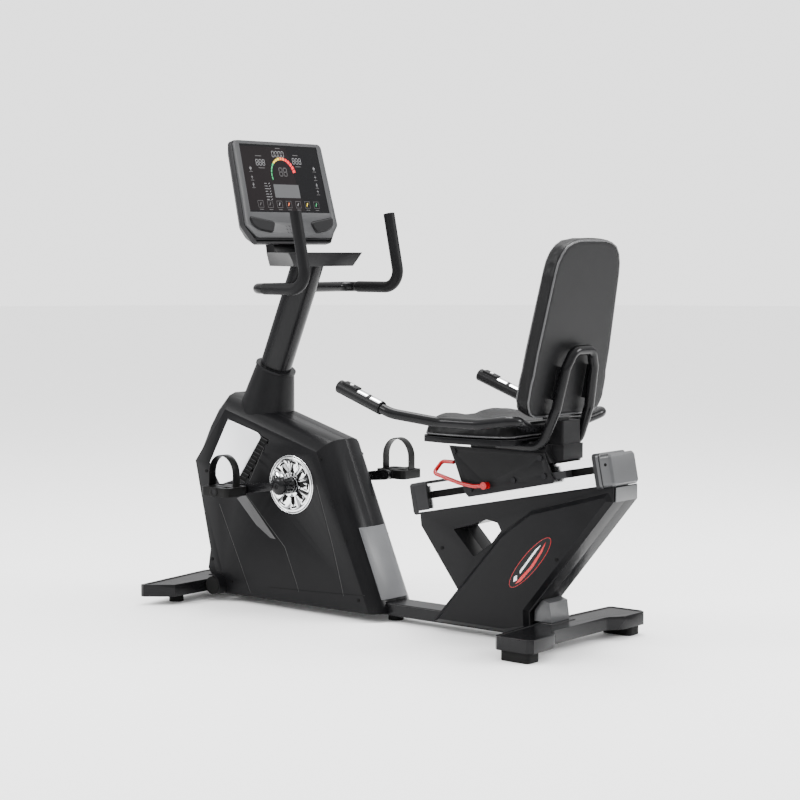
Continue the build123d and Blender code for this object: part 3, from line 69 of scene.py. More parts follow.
def make_stage():
    """Camera at the viewing angle, a pale floor, an even sky and three soft boxes."""
    lens = bpy.data.cameras.new("camera")
    lens.lens, lens.sensor_width = CAMERA_LENS, CAMERA_SENSOR
    camera = bpy.data.objects.new("camera", lens)
    camera.location = CAMERA_PLACE
    camera.rotation_euler = (radians(90 - CAMERA_DIP), 0, radians(CAMERA_TURN))
    bpy.context.collection.objects.link(camera)
    bpy.context.scene.camera = camera

    bpy.ops.mesh.primitive_circle_add(vertices=96, radius=FLOOR_RADIUS, fill_type="NGON")
    floor = bpy.context.object
    floor.name = "floor"
    paint = bpy.data.materials.new("floor")
    paint.use_nodes = True
    shader = paint.node_tree.nodes["Principled BSDF"]
    shader.inputs["Base Color"].default_value = FLOOR_SHADE
    shader.inputs["Roughness"].default_value = 0.6
    floor.data.materials.append(paint)

    world = bpy.data.worlds.new("studio")
    bpy.context.scene.world = world
    world.use_nodes = True
    tree = world.node_tree
    sky = tree.nodes["Background"]
    sky.inputs[0].default_value, sky.inputs[1].default_value = (1, 1, 1, 1), SKY_LIGHT
    # what shiny faces mirror: dim at the horizon and bright overhead
    mirrored = tree.nodes.new("ShaderNodeBackground")
    mirrored.inputs[1].default_value = SKY_LIGHT
    coords = tree.nodes.new("ShaderNodeTexCoord")
    split = tree.nodes.new("ShaderNodeSeparateXYZ")
    ramp = tree.nodes.new("ShaderNodeValToRGB")
    ramp.color_ramp.elements[0].position, ramp.color_ramp.elements[1].position = 0.05, 0.8
    ramp.color_ramp.elements[0].color = HORIZON_SHADE
    ramp.color_ramp.elements[1].color = (1.0, 1.0, 1.0, 1)
    tree.links.new(coords.outputs["Generated"], split.inputs[0])
    tree.links.new(split.outputs["Z"], ramp.inputs[0])
    tree.links.new(ramp.outputs[0], mirrored.inputs[0])
    path = tree.nodes.new("ShaderNodeLightPath")
    choice = tree.nodes.new("ShaderNodeMixShader")
    tree.links.new(path.outputs["Is Glossy Ray"], choice.inputs[0])
    tree.links.new(sky.outputs[0], choice.inputs[1])
    tree.links.new(mirrored.outputs[0], choice.inputs[2])
    tree.links.new(choice.outputs[0], tree.nodes["World Output"].inputs[0])

    for name, place, size, power in SOFT_BOXES:
        lamp = bpy.data.lights.new(name, "AREA")
        lamp.size, lamp.energy = size, power
        light = bpy.data.objects.new(name, lamp)
        light.location = place
        light.rotation_euler = (LIGHT_AIM - Vector(place)).to_track_quat("-Z", "Y").to_euler()
        bpy.context.collection.objects.link(light)


# ---------------------------------------------------------------- materials

# finishes darker than the limit mirror less of the bright studio, so that they stay deep
DARK_LIMIT, DARK_MIRROR, PALE_MIRROR = 0.02, 0.10, 0.35


def finish(name, color, rough, metal=0.0, mottle=0.12, grain=0.10, grain_size=1.2 * MM,
           edge=0.0, coat=0.0, streak=None, cells=0.0, rough_spread=0.06, bevel=0.0):
    """Procedural finish: mottled colour, varied gloss, grain in the bump, and edges painted paler, partly
    as wear and partly as a painted highlight.

    streak stretches the pattern along an axis, and cells adds a leather-like cell pattern.
    """
    paint = bpy.data.materials.new(name)
    paint.use_nodes = True
    tree = paint.node_tree
    add, link = tree.nodes.new, tree.links.new
    shader = tree.nodes["Principled BSDF"]
    shader.inputs["Metallic"].default_value = metal
    is_dark = max(color) < DARK_LIMIT
    shader.inputs["Specular IOR Level"].default_value = DARK_MIRROR if is_dark else PALE_MIRROR
    shader.inputs["Coat Weight"].default_value = coat
    shader.inputs["Coat Roughness"].default_value = 0.12

    coords = add("ShaderNodeTexCoord")
    mapping = add("ShaderNodeMapping")
    if streak:
        mapping.inputs["Scale"].default_value = streak
    link(coords.outputs["Object"], mapping.inputs[0])

    broad = add("ShaderNodeTexNoise")
    broad.inputs["Scale"].default_value = 14
    broad.inputs["Detail"].default_value = 4
    link(mapping.outputs[0], broad.inputs["Vector"])
    tint = add("ShaderNodeValToRGB")
    tint.color_ramp.elements[0].position, tint.color_ramp.elements[1].position = 0.3, 0.7
    tint.color_ramp.elements[0].color = [c * (1 - mottle) for c in color] + [1]
    tint.color_ramp.elements[1].color = [min(1, c * (1 + mottle)) for c in color] + [1]
    link(broad.outputs["Fac"], tint.inputs[0])
    base = tint.outputs[0]

    fine = add("ShaderNodeTexNoise")
    fine.inputs["Scale"].default_value = 1 / grain_size
    fine.inputs["Detail"].default_value = 3
    link(mapping.outputs[0], fine.inputs["Vector"])
    gloss = add("ShaderNodeMapRange")
    gloss.inputs["To Min"].default_value = max(0.02, rough - rough_spread)
    gloss.inputs["To Max"].default_value = rough + rough_spread
    link(broad.outputs["Fac"], gloss.inputs["Value"])
    link(gloss.outputs[0], shader.inputs["Roughness"])

    bump = add("ShaderNodeBump")
    bump.inputs["Strength"].default_value = grain
    bump.inputs["Distance"].default_value = 0.4 * MM
    height = fine.outputs["Fac"]
    if cells:
        cell = add("ShaderNodeTexVoronoi")
        cell.feature = "DISTANCE_TO_EDGE"
        cell.inputs["Scale"].default_value = 1 / cells
        link(mapping.outputs[0], cell.inputs["Vector"])
        both = add("ShaderNodeMath")
        both.operation = "MULTIPLY_ADD"
        both.inputs[1].default_value = 2.5
        link(cell.outputs["Distance"], both.inputs[0])
        link(fine.outputs["Fac"], both.inputs[2])
        height = both.outputs[0]
    link(height, bump.inputs["Height"])
    link(bump.outputs[0], shader.inputs["Normal"])

    if edge or bevel:
        rounded = add("ShaderNodeBevel")
        rounded.samples = 4
        rounded.inputs["Radius"].default_value = (bevel or 1.2) * MM
        if bevel:
            link(rounded.outputs[0], bump.inputs["Normal"])
    # paler edges: partly wear, partly a painted highlight of the light that rounded edges catch
    if edge:
        facing = add("ShaderNodeNewGeometry")
        turned = add("ShaderNodeVectorMath")
        turned.operation = "DOT_PRODUCT"
        link(rounded.outputs[0], turned.inputs[0])
        link(facing.outputs["Normal"], turned.inputs[1])
        wear_and_sheen = add("ShaderNodeMapRange")
        wear_and_sheen.inputs["From Min"].default_value, wear_and_sheen.inputs["From Max"].default_value = 0.98, 0.86
        wear_and_sheen.inputs["To Max"].default_value = edge
        link(turned.outputs["Value"], wear_and_sheen.inputs["Value"])
        mix = add("ShaderNodeMix")
        mix.data_type = "RGBA"
        link(wear_and_sheen.outputs[0], mix.inputs[0])
        link(base, mix.inputs[6])
        mix.inputs[7].default_value = [min(1, c * 2 + 0.04) for c in color] + [1]
        base = mix.outputs[2]
    link(base, shader.inputs["Base Color"])
    return paint


def glow(name, color, strength):
    """Lit segment of the display: a coloured face that shines a little."""
    paint = finish(name, color, 0.35, mottle=0.03, grain=0.02)
    shader = paint.node_tree.nodes["Principled BSDF"]
    shader.inputs["Emission Color"].default_value = (*color, 1)
    shader.inputs["Emission Strength"].default_value = strength
    return paint


BLACK = (0.005, 0.005, 0.0055)
FINISHES = {
    # name: (colour, roughness, the rest of what finish takes)
    "case_plastic": ((0.0045, 0.0045, 0.005), 0.3, dict(grain=0.12, edge=0.25, mottle=0.08)),
    "boot_plastic": ((0.005, 0.005, 0.0055), 0.36, dict(grain=0.1, edge=0.15)),
    "black_metal": (BLACK, 0.24, dict(coat=0.1, grain=0.1, grain_size=0.8 * MM, edge=0.2)),
    "plate_metal": ((0.007, 0.007, 0.0075), 0.42,
        dict(grain=0.22, grain_size=0.6 * MM, edge=0.2, bevel=1.5)),
    "black_rubber": ((0.005, 0.005, 0.005), 0.62, dict(grain=0.25, edge=0.1)),
    "foam": ((0.005, 0.005, 0.0055), 0.5, dict(grain=0.35, grain_size=0.9 * MM)),
    "grip_plastic": ((0.007, 0.007, 0.0075), 0.38, dict(grain=0.18, edge=0.3)),
    "pedal_plastic": ((0.004, 0.004, 0.004), 0.45, dict(grain=0.3, edge=0.3, bevel=1.0)),
    "strap": ((0.004, 0.004, 0.004), 0.38, dict(grain=0.15, edge=0.3)),
    "grey_plastic": ((0.075, 0.0765, 0.08), 0.36, dict(mottle=0.05, grain=0.15, edge=0.35)),
    "cap_plastic": ((0.045, 0.046, 0.048), 0.34,
        dict(mottle=0.05, grain=0.15, edge=0.35, coat=0.2)),
    "silver_plastic": ((0.8, 0.81, 0.83), 0.22,
        dict(metal=0.25, mottle=0.03, coat=0.6, grain=0.04)),
    "dark_plastic": ((0.016, 0.016, 0.017), 0.4, dict(grain=0.15, edge=0.3)),
    "bezel_plastic": ((0.026, 0.0265, 0.028), 0.38,
        dict(mottle=0.05, grain=0.3, grain_size=0.7 * MM, edge=0.4)),
    "pad_plastic": ((0.008, 0.008, 0.0085), 0.5, dict(grain=0.35, grain_size=0.7 * MM, edge=0.2)),
    "screen": ((0.002, 0.002, 0.0025), 0.1, dict(coat=0.15, grain=0.0, rough_spread=0.02)),
    "glare": ((0.0075, 0.006, 0.0065), 0.14, dict(grain=0.0, mottle=0.03)),
    "vinyl": ((0.0038, 0.0038, 0.004), 0.34, dict(grain=0.3, cells=1.6 * MM, mottle=0.1)),
    "back_vinyl": ((0.006, 0.006, 0.0064), 0.36, dict(grain=0.25, cells=1.4 * MM, mottle=0.06)),
    # paler grey than the vinyl: painted highlight along the piped seams
    "piping": ((0.05, 0.05, 0.052), 0.26, dict(grain=0.1)),
    "chrome": ((0.88, 0.89, 0.9), 0.07,
        dict(metal=1.0, mottle=0.02, grain=0.02, rough_spread=0.03)),
    "steel": ((0.52, 0.52, 0.53), 0.28, dict(metal=1.0, mottle=0.05, grain=0.06)),
    "dark_steel": ((0.012, 0.012, 0.013), 0.35, dict(metal=0.4, grain=0.05)),
    "iron": ((0.16, 0.16, 0.17), 0.45, dict(metal=0.9, grain=0.3)),
    "alloy": ((0.6, 0.61, 0.63), 0.35, dict(metal=0.9, grain=0.15)),
    "rail_alloy": ((0.86, 0.865, 0.87), 0.22,
        dict(metal=1.0, mottle=0.04, grain=0.1, streak=(0.06, 1, 1), grain_size=0.7 * MM, coat=0.2)),
    "red_metal": ((0.3, 0.004, 0.006), 0.28, dict(coat=0.12, mottle=0.06, grain=0.04)),
    "white_plastic": ((0.8, 0.8, 0.8), 0.3, dict(mottle=0.03, grain=0.05)),
    "groove": ((0.001, 0.001, 0.001), 0.6, dict(mottle=0.02, grain=0.05)),
    # paler than the casing: painted highlight on the sloped facets and the seam lips
    "facet": ((0.03, 0.03, 0.031), 0.3, dict(mottle=0.06, grain=0.1)),
    "decal_black": ((0.002, 0.002, 0.002), 0.18, dict(coat=0.1, mottle=0.02, grain=0.0)),
    "decal_red": ((0.42, 0.003, 0.006), 0.24, dict(coat=0.1, mottle=0.05, grain=0.0)),
    "decal_silver": ((0.62, 0.62, 0.64), 0.25, dict(metal=0.4, mottle=0.05, grain=0.0)),
}
GLOWS = {
    # name: (colour, strength)
    "lcd": ((0.04, 0.041, 0.043), 0.1),
    "mark_white": ((0.13, 0.13, 0.135), 0.25),
    "mark_dim": ((0.045, 0.043, 0.044), 0.1),
    "mark_green": ((0.01, 0.28, 0.09), 0.35),
    "mark_yellow": ((0.62, 0.44, 0.02), 0.45),
    "mark_orange": ((0.62, 0.12, 0.03), 0.4),
    "mark_red": ((0.6, 0.006, 0.014), 0.5),
}
MATERIALS = {name: finish(name, color, rough, **rest) for name, (color, rough, rest) in FINISHES.items()}
MATERIALS.update({name: glow(name, color, strength) for name, (color, strength) in GLOWS.items()})


def paint(piece, name):
    """Give the piece this material on all its faces."""
    piece.data.materials.clear()
    piece.data.materials.append(MATERIALS[name])


# ---------------------------------------------------------------- shared mesh tools


def add_piece(name, mesh, material, body, smooth=True):
    """Turn a mesh into a named piece of the object that rides on a body."""
    piece = bpy.data.objects.new(name, mesh)
    bpy.context.collection.objects.link(piece)
    if isinstance(material, str):
        paint(piece, material)
    if smooth:
        mesh.polygons.foreach_set("use_smooth", [True] * len(mesh.polygons))
    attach(piece, body)
    return piece


def apply_modifiers(piece):
    """Write what the modifiers make into the piece's own mesh."""
    graph = bpy.context.evaluated_depsgraph_get()
    made = bpy.data.meshes.new_from_object(piece.evaluated_get(graph))
    piece.modifiers.clear()
    piece.data = made


NODE_BODY = {n: b for b, ns in frame["record"]["behaviour"]["bodies"].items() for n in ns}
SHARP_ANGLE, FLAT_ANGLE = radians(24), radians(1.0)


def soften(node, material, width, segments=3):
    """Copy of a CAD shell, its sharp edges rounded to this width in mm. It stands for the node."""
    mesh = NODES[node].data.copy()
    work = bmesh.new()
    work.from_mesh(mesh)
    bmesh.ops.remove_doubles(work, verts=work.verts, dist=0.02 * MM)
    bmesh.ops.dissolve_limit(
        work, angle_limit=FLAT_ANGLE, verts=work.verts, edges=work.edges, use_dissolve_boundaries=False,
    )
    work.to_mesh(mesh)
    work.free()
    piece = add_piece(f"{node}_shell", mesh, material, NODE_BODY[node])
    rounding = piece.modifiers.new("Bevel", "BEVEL")
    rounding.width, rounding.segments = width * MM, segments
    rounding.limit_method, rounding.angle_limit = "ANGLE", SHARP_ANGLE
    rounding.harden_normals = True
    rounding.use_clamp_overlap = True
    apply_modifiers(piece)
    piece.data.polygons.foreach_set("use_smooth", [True] * len(piece.data.polygons))
    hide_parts(node)
    return piece


def tube(name, points, radius, material, body, closed=False, resolution=4):
    """Round bead along points, as a smooth curve turned into a mesh."""
    line = bpy.data.curves.new(name, "CURVE")
    line.dimensions = "3D"
    line.bevel_depth, line.bevel_resolution = radius, resolution
    run = line.splines.new("POLY")
    run.points.add(len(points) - 1)
    for spot, point in zip(run.points, points):
        spot.co = (*point, 1)
    run.use_cyclic_u = closed
    if not closed:
        line.use_fill_caps = True
    guide = bpy.data.objects.new(name + "_line", line)
    bpy.context.collection.objects.link(guide)
    graph = bpy.context.evaluated_depsgraph_get()
    mesh = bpy.data.meshes.new_from_object(guide.evaluated_get(graph))
    bpy.data.objects.remove(guide)
    return add_piece(name, mesh, material, body)


def solid_between(work, lower, upper):
    """Faces of the closed solid between two rings of vertices."""
    count = len(lower)
    faces = [work.faces.new(upper), work.faces.new(lower[::-1])]
    for i in range(count):
        j = (i + 1) % count
        faces.append(work.faces.new((lower[i], lower[j], upper[j], upper[i])))
    return faces


def prism(work, outline, low, high, place, material=0):
    """Closed prism over a flat outline, between two heights.

    place maps (u, v, height) to the frame.
    """
    lower = [work.verts.new(place(u, v, low)) for u, v in outline]
    upper = [work.verts.new(place(u, v, high)) for u, v in outline]
    for face in solid_between(work, lower, upper):
        face.material_index = material


def mesh_from(work, name):
    """Finish a bmesh as a mesh with its faces turned outwards."""
    bmesh.ops.recalc_face_normals(work, faces=work.faces)
    mesh = bpy.data.meshes.new(name)
    work.to_mesh(mesh)
    work.free()
    return mesh


def add_detail(name, work, material):
    """Finish a bmesh as a flat-shaded piece that is fixed to the frame."""
    return add_piece(name, mesh_from(work, name), material, "frame", smooth=False)


def rounded(points, radius, steps=6):
    """Closed outline with an arc of about this radius at each corner."""
    result = []
    for i, here in enumerate(points):
        before, after = Vector(points[i - 1]), Vector(points[(i + 1) % len(points)])
        here = Vector(here)
        to_before, to_after = before - here, after - here
        reach = min(radius, to_before.length * 0.45, to_after.length * 0.45)
        start, end = here + to_before.normalized() * reach, here + to_after.normalized() * reach
        for k in range(steps + 1):
            t = k / steps
            result.append(tuple(start * (1 - t) ** 2 + here * 2 * t * (1 - t) + end * t ** 2))
    return result


def inset(points, distance):
    """Outline moved inwards by this distance, corner by corner."""
    area = sum(a[0] * b[1] - b[0] * a[1] for a, b in zip(points, points[1:] + points[:1]))
    side = -1 if area > 0 else 1
    result = []
    for before, here, after in zip(points[-1:] + points[:-1], points, points[1:] + points[:1]):
        ax, ay = here[0] - before[0], here[1] - before[1]
        bx, by = after[0] - here[0], after[1] - here[1]
        al, bl = hypot(ax, ay) or 1e-9, hypot(bx, by) or 1e-9
        nax, nay, nbx, nby = side * ay / al, -side * ax / al, side * by / bl, -side * bx / bl
        scale = distance / max(0.3, 1 + nax * nbx + nay * nby)
        result.append((here[0] + (nax + nbx) * scale, here[1] + (nay + nby) * scale))
    return result


# ---------------------------------------------------------------- upholstery


def remesh(piece, size):
    """Even the mesh out into cells of this size in mm."""
    grid = piece.modifiers.new("Remesh", "REMESH")
    grid.mode, grid.voxel_size = "VOXEL", size * MM
    grid.use_smooth_shade = True
    apply_modifiers(piece)


def inflate(piece, pressure, cap, held, frames=20):
    """Stuff a closed pad: cloth under inner pressure, with held(point) vertices pinned down.

    No point moves further than cap millimetres.
    """
    mesh = piece.data
    rest = [v.co.copy() for v in mesh.vertices]
    pins = piece.vertex_groups.new(name="held")
    pins.add([v.index for v in mesh.vertices if held(v.co)], 1.0, "REPLACE")
    cloth = piece.modifiers.new("Cloth", "CLOTH")
    settings = cloth.settings
    settings.vertex_group_mass = "held"
    settings.use_pressure, settings.uniform_pressure_force = True, pressure
    settings.effector_weights.gravity = 0
    settings.tension_stiffness = settings.compression_stiffness = 25
    settings.bending_stiffness = 2
    settings.quality = 6
    cloth.collision_settings.use_collision = False
    scene = bpy.context.scene
    cloth.point_cache.frame_start, cloth.point_cache.frame_end = 1, frames
    for step in range(1, frames + 1):
        scene.frame_set(step)
    graph = bpy.context.evaluated_depsgraph_get()
    shaped = piece.evaluated_get(graph).to_mesh()
    moved = [v.co.copy() for v in shaped.vertices]
    piece.modifiers.clear()
    for vertex, start, end in zip(mesh.vertices, rest, moved):
        shift = end - start
        if shift.length > cap * MM:
            shift = shift.normalized() * cap * MM
        vertex.co = start + shift
    mesh.update()
    scene.frame_set(1)


def relax(piece, rounds=4, factor=0.5):
    """Smooth a mesh a little."""
    work = bmesh.new()
    work.from_mesh(piece.data)
    for _ in range(rounds):
        bmesh.ops.smooth_vert(
            work, verts=work.verts, factor=factor, use_axis_x=True, use_axis_y=True, use_axis_z=True,
        )
    work.to_mesh(piece.data)
    work.free()


def subdivide(piece):
    """One level of subdivision, written into the mesh."""
    finer = piece.modifiers.new("Subdivision", "SUBSURF")
    finer.levels = finer.render_levels = 1
    apply_modifiers(piece)
    piece.data.polygons.foreach_set("use_smooth", [True] * len(piece.data.polygons))


def surface_points(piece, spots, inwards):
    """Where rays from each spot, along its inward direction, meet the piece."""
    graph = bpy.context.evaluated_depsgraph_get()
    tree = BVHTree.FromObject(piece, graph)
    found = []
    for spot, direction in zip(spots, inwards):
        hit = tree.ray_cast(Vector(spot), Vector(direction))[0]
        if hit is not None:
            found.append(hit)
    return found


# cell of the remeshed pads in mm, and the pressure that stuffs them
PAD_CELL, PAD_PRESSURE = 5, 4.0

# seat cushion ---------------------------------------------------

SEAT_HALF = [(226, 0), (224, -90), (234, -165), (260, -198), (330, -206), (430, -200),
             (500, -180), (522, -150), (524, 0)]
SEAT_OUTLINE = SEAT_HALF + [(x, -y) for x, y in reversed(SEAT_HALF[1:-1])]
SEAT_LOW, SEAT_WALL, SEAT_SWELL = 556.5, 594.0, 9
SEAT_PIPING, SEAT_PIPING_RADIUS = (("seat_piping_top", 590.0), ("seat_piping_low", 562.0)), 2.2
SEAT_REACH = 200
ROLL_HEIGHT, ROLL_CENTRE, ROLL_HALF, ROLL_REAR, ROLL_RAMP = 11, 105, 75, 330, 80
RIM_RISE, RIM_START = 4, 0.45
DISH_DEPTH, DISH_CENTRE, DISH_HALF = 9, 385, 120


def seat_relief(x, y):
    """Height in mm to add to the seat's top: a dish in the middle and a roll at each thigh."""
    side = abs(y) / SEAT_REACH
    front = max(0.0, min(1.0, (ROLL_REAR - x) / ROLL_RAMP))
    thigh = ROLL_HEIGHT * front * max(0.0, 1 - ((abs(y) - ROLL_CENTRE) / ROLL_HALF) ** 2)
    rim = RIM_RISE * max(0.0, side - RIM_START)
    across, along = y / DISH_HALF, (x - DISH_CENTRE) / DISH_HALF
    dish = -DISH_DEPTH * max(0.0, 1 - across ** 2) * max(0.0, 1 - along ** 2)
    return thigh + rim + dish


def make_seat_cushion():
    """Vinyl seat cushion: upright sewn border, crowned top, piping at both seams."""
    outline = rounded(SEAT_OUTLINE, 60, 5)
    work = bmesh.new()
    place = lambda u, v, h: Vector((u, v, h)) * MM
    prism(work, inset(outline, 4), SEAT_LOW, SEAT_WALL, place)
    mesh = mesh_from(work, "seat_cushion_soft")
    piece = add_piece("seat_cushion_soft", mesh, "vinyl", "carriage")
    remesh(piece, PAD_CELL)
    inflate(piece, PAD_PRESSURE, SEAT_SWELL, lambda p: p.z < (SEAT_LOW + 6) * MM)
    for vertex in piece.data.vertices:
        share = max(0.0, min(1.0, (vertex.co.z / MM - SEAT_LOW - 22) / 18))
        vertex.co.z += seat_relief(vertex.co.x / MM, vertex.co.y / MM) * share * MM
    relax(piece, 5)
    subdivide(piece)
    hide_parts("seat_cushion")

    centre = Vector((375, 0, 0)) * MM
    ring = [Vector((x, y, 0)) * MM for x, y in inset(outline, -40)]
    for name, height in SEAT_PIPING:
        spots = [Vector((p.x, p.y, height * MM)) for p in ring]
        ways = [(Vector((centre.x, centre.y, height * MM)) - s).normalized() for s in spots]
        line = surface_points(piece, spots, ways)
        tube(name, line, SEAT_PIPING_RADIUS * MM, "piping", "carriage", closed=True)
    return piece


# backrest -------------------------------------------------------

BACK_LEAN, BACK_FOOT = radians(11.3), Vector((573.5, 0, 610.0))
BACK_UP = Vector((sin(BACK_LEAN), 0, cos(BACK_LEAN)))
BACK_OUT = Vector((cos(BACK_LEAN), 0, -sin(BACK_LEAN)))
PAD_THICK, PAD_HEIGHT, PAD_SWELL = 57.0, 478.0, 7
PAD_LOW_CORNER, PAD_HIGH_CORNER, PAD_SHOULDER = 50, 96, 400
PAD_PIPING_RADIUS = 2.6
PAD_OUTLINE = [(-150, 0), (150, 0), (177, 40), (172, 130), (146, PAD_HEIGHT),
               (-146, PAD_HEIGHT), (-172, 130), (-177, 40)]


def back_place(across, up, out):
    """Frame point, in metres, from distances in mm across, up and behind the pad's rear face."""
    return (BACK_FOOT + BACK_UP * up + BACK_OUT * out + Vector((0, across, 0))) * MM


def make_backrest():
    """Backrest pad: flat upholstered rear board, side band between two piped seams, crowned front."""
    outline = []
    for i, corner in enumerate(PAD_OUTLINE):
        reach = PAD_HIGH_CORNER if corner[1] > PAD_SHOULDER else PAD_LOW_CORNER
        trio = [PAD_OUTLINE[i - 1], corner, PAD_OUTLINE[(i + 1) % len(PAD_OUTLINE)]]
        start = len(rounded(trio, reach)) // 3
        outline += rounded(trio, reach)[start:2 * start]
    work = bmesh.new()
    prism(work, inset(outline, 3), -PAD_THICK + 8, -1.5, back_place)
    piece = add_piece("backrest_soft", mesh_from(work, "backrest_soft"), "back_vinyl", "carriage")
    remesh(piece, PAD_CELL)
    rear = (BACK_FOOT * MM).dot(BACK_OUT)
    inflate(piece, PAD_PRESSURE, PAD_SWELL, lambda p: p.dot(BACK_OUT) > rear - 7 * MM)
    relax(piece, 5)
    subdivide(piece)
    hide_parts("backrest_pad")

    ring = inset(outline, -30)
    for name, out in (("backrest_piping_rear", -4.0), ("backrest_piping_front", -PAD_THICK + 12)):
        spots = [back_place(u, v, out) for u, v in ring]
        # each ray aims at the nearest height of the pad's spine
        ways = [(back_place(0, min(max(v, 120), 380), out) - spot).normalized()
                for spot, (_, v) in zip(spots, ring)]
        line = surface_points(piece, spots, ways)
        tube(name, line, PAD_PIPING_RADIUS * MM, "piping", "carriage", closed=True)
    return piece


# ---------------------------------------------------------------- front casing details

CASE_FACE = 92.0
SIDES = ((-1, "left"), (1, "right"))


def side_place(side, face=CASE_FACE):
    """Maps (x, z, height above the side face) to the frame, side -1 for the left."""
    return lambda x, z, h: Vector((x, side * (face + h), z)) * MM


def ribbon(work, points, width, low, high, place, material=0):
    """Flat strip of this width along a line, standing from low to high above the face."""
    half = width / 2
    left, right = [], []
    for i, (x, z) in enumerate(points):
        before = points[max(i - 1, 0)]
        after = points[min(i + 1, len(points) - 1)]
        along = Vector((after[0] - before[0], after[1] - before[1])).normalized()
        left.append((x - along.y * half, z + along.x * half))
        right.append((x + along.y * half, z - along.x * half))
    prism(work, left + right[::-1], low, high, place, material)


def arc_points(centre, radius, start, end, steps):
    """Points along an arc, angles in degrees."""
    return [
        (centre[0] + radius * cos(radians(start + (end - start) * k / steps)),
         centre[1] + radius * sin(radians(start + (end - start) * k / steps)))
        for k in range(steps + 1)
    ]


CASE_SEAMS = [
    [(-611, 289), (-485, 36)],
    [(-499, 327), (-455, 285), (-346, 185), (-300, 82), (-292, 60)],
    [(-221, 377), (-161, 207), (-128, 96), (-120, 66)],
    [(-411, 60), (-200, 68), (-42, 76)],
    [(-419, 484), (-486, 368)],
]
FACET_BAND = [(-536, 313), (-499, 327), (-416, 243), (-380, 205), (-400, 206), (-458, 240)]
VENT_TOP, VENT_END = (-435, 501), (-527, 372)
CRANK = (-318.0, 370.0)
INSERT = [(-571, 547), (-448, 514), (-435, 501), (-527, 372), (-606, 347), (-649, 411)]
FACET_HEIGHTS = [0.1, 2.2, 2.2, 0.1, 0.1, 0.1]
VENT_REACH, VENT_RIBS = Vector((0.94, -0.34)) * 27, 7
WINDOW_RADIUS, WINDOW_RING = 83.5, 1.6


def make_seams(place, word):
    """Pressed lines of one side, painted near-black as painted shade in the crease, each with a thin paler
    lip beside it as a painted highlight on its edge.
    """
    # near-black strips: painted shade in the pressed lines
    work = bmesh.new()
    for seam in CASE_SEAMS:
        ribbon(work, seam, 2.0, -0.3, 0.15, place)
    add_detail(f"casing_seams_{word}", work, "groove")
    # paler strips beside them: painted highlight on the lines' edges
    work = bmesh.new()
    for seam in CASE_SEAMS:
        ribbon(work, [(x + 2.2, z) for x, z in seam], 1.2, -0.3, 0.12, place)
    add_detail(f"casing_seam_lips_{word}", work, "facet")


def make_facet(place, word):
    """Sloped facet: flush at its lower edge and proud at its upper edge, painted paler than the casing as
    a painted highlight where it tilts to the light.
    """
    work = bmesh.new()
    top = [work.verts.new(place(x, z, h)) for (x, z), h in zip(FACET_BAND, FACET_HEIGHTS)]
    low = [work.verts.new(place(x, z, -0.5)) for x, z in FACET_BAND]
    solid_between(work, low, top)
    add_detail(f"casing_facet_{word}", work, "facet")


def make_vent(place, word):
    """Vent: a near-black patch, painted shade standing for the recess, crossed by thin ribs, with a short
    rib in each gap.
    """
    top, end = Vector(VENT_TOP), Vector(VENT_END)
    # near-black patch over the vent opening: painted shade
    work = bmesh.new()
    recess = [VENT_TOP, tuple(top + VENT_REACH), tuple(end + VENT_REACH), VENT_END]
    prism(work, recess, 0.1, 0.5, place)
    add_detail(f"vent_recess_{word}", work, "groove")
    gaps = VENT_RIBS - 1
    work = bmesh.new()
    for k in range(VENT_RIBS):
        start = top + (end - top) * (k / gaps)
        ribbon(work, [tuple(start), tuple(start + VENT_REACH)], 2.6, 0.4, 2.4, place)
    for k in range(gaps):
        spot = top + (end - top) * ((k + 0.5) / gaps) + VENT_REACH * 0.55
        half = VENT_REACH * 0.30
        ribbon(work, [tuple(spot - half), tuple(spot + half)], 1.4, 0.4, 1.4, place)
    add_detail(f"vent_ribs_{word}", work, "dark_plastic")


def make_casing_details():
    """Seam lines, sloped facet, vent, shadow gap round the insert and ring round the crank window."""
    for side, word in SIDES:
        place = side_place(side)
        make_seams(place, word)
        make_facet(place, word)
        make_vent(place, word)
        work = bmesh.new()
        rim = rounded(INSERT, 10, 4)
        ribbon(work, rim + [rim[0]], 2.0, -0.2, 0.3, place)
        add_detail(f"insert_gap_{word}", work, "groove")
        circle = arc_points(CRANK, WINDOW_RADIUS, 0, 360, 96)[:-1]
        ring = [place(x, z, -0.3) for x, z in circle]
        tube(f"window_ring_{word}", ring, WINDOW_RING * MM, "chrome", "frame", closed=True)


# ---------------------------------------------------------------- crank wheel

WHEEL_PETALS = 9
WHEEL_IN, WHEEL_OUT, WHEEL_THICK = 24, 80, 1.2
WHEEL_RINGS, WHEEL_TURNS = 30, 216
CAP_FACE, CAP_SIDES = 146.0, 48
# radius and height of each ring of the cap, from its rim to the bottom of its socket
CAP_RINGS = [(26, -2), (26, 0), (25.5, 4), (23, 8), (18, 11), (10, 12.5), (7.2, 12.7), (6.6, 12), (6.6, 6)]


def wheel_height(radius, angle):
    """Height of the wheel's face above the machine's middle, in mm."""
    if radius > 72:
        return 93.4 - 0.05 * (radius - 76) ** 2
    wave = cos(WHEEL_PETALS * angle)
    inner = max(0.0, 1 - ((radius - 50) / 22) ** 2)
    return 92.6 + 2.6 * inner * wave + 1.2 * inner * cos(2 * WHEEL_PETALS * angle + 1.1)


def wheel_dark(radius, share):
    """Whether the face is painted near-black here, as painted shade standing for an opening; share is the
    part of a whole turn.
    """
    phase = (share * WHEEL_PETALS + 0.5) % 1
    bar = abs(phase - 0.5) < 0.24 and 63 < radius < 68
    stem = abs(phase - 0.5) < 0.30 * (66 - radius) / 30 and 36 < radius
    return bar or stem


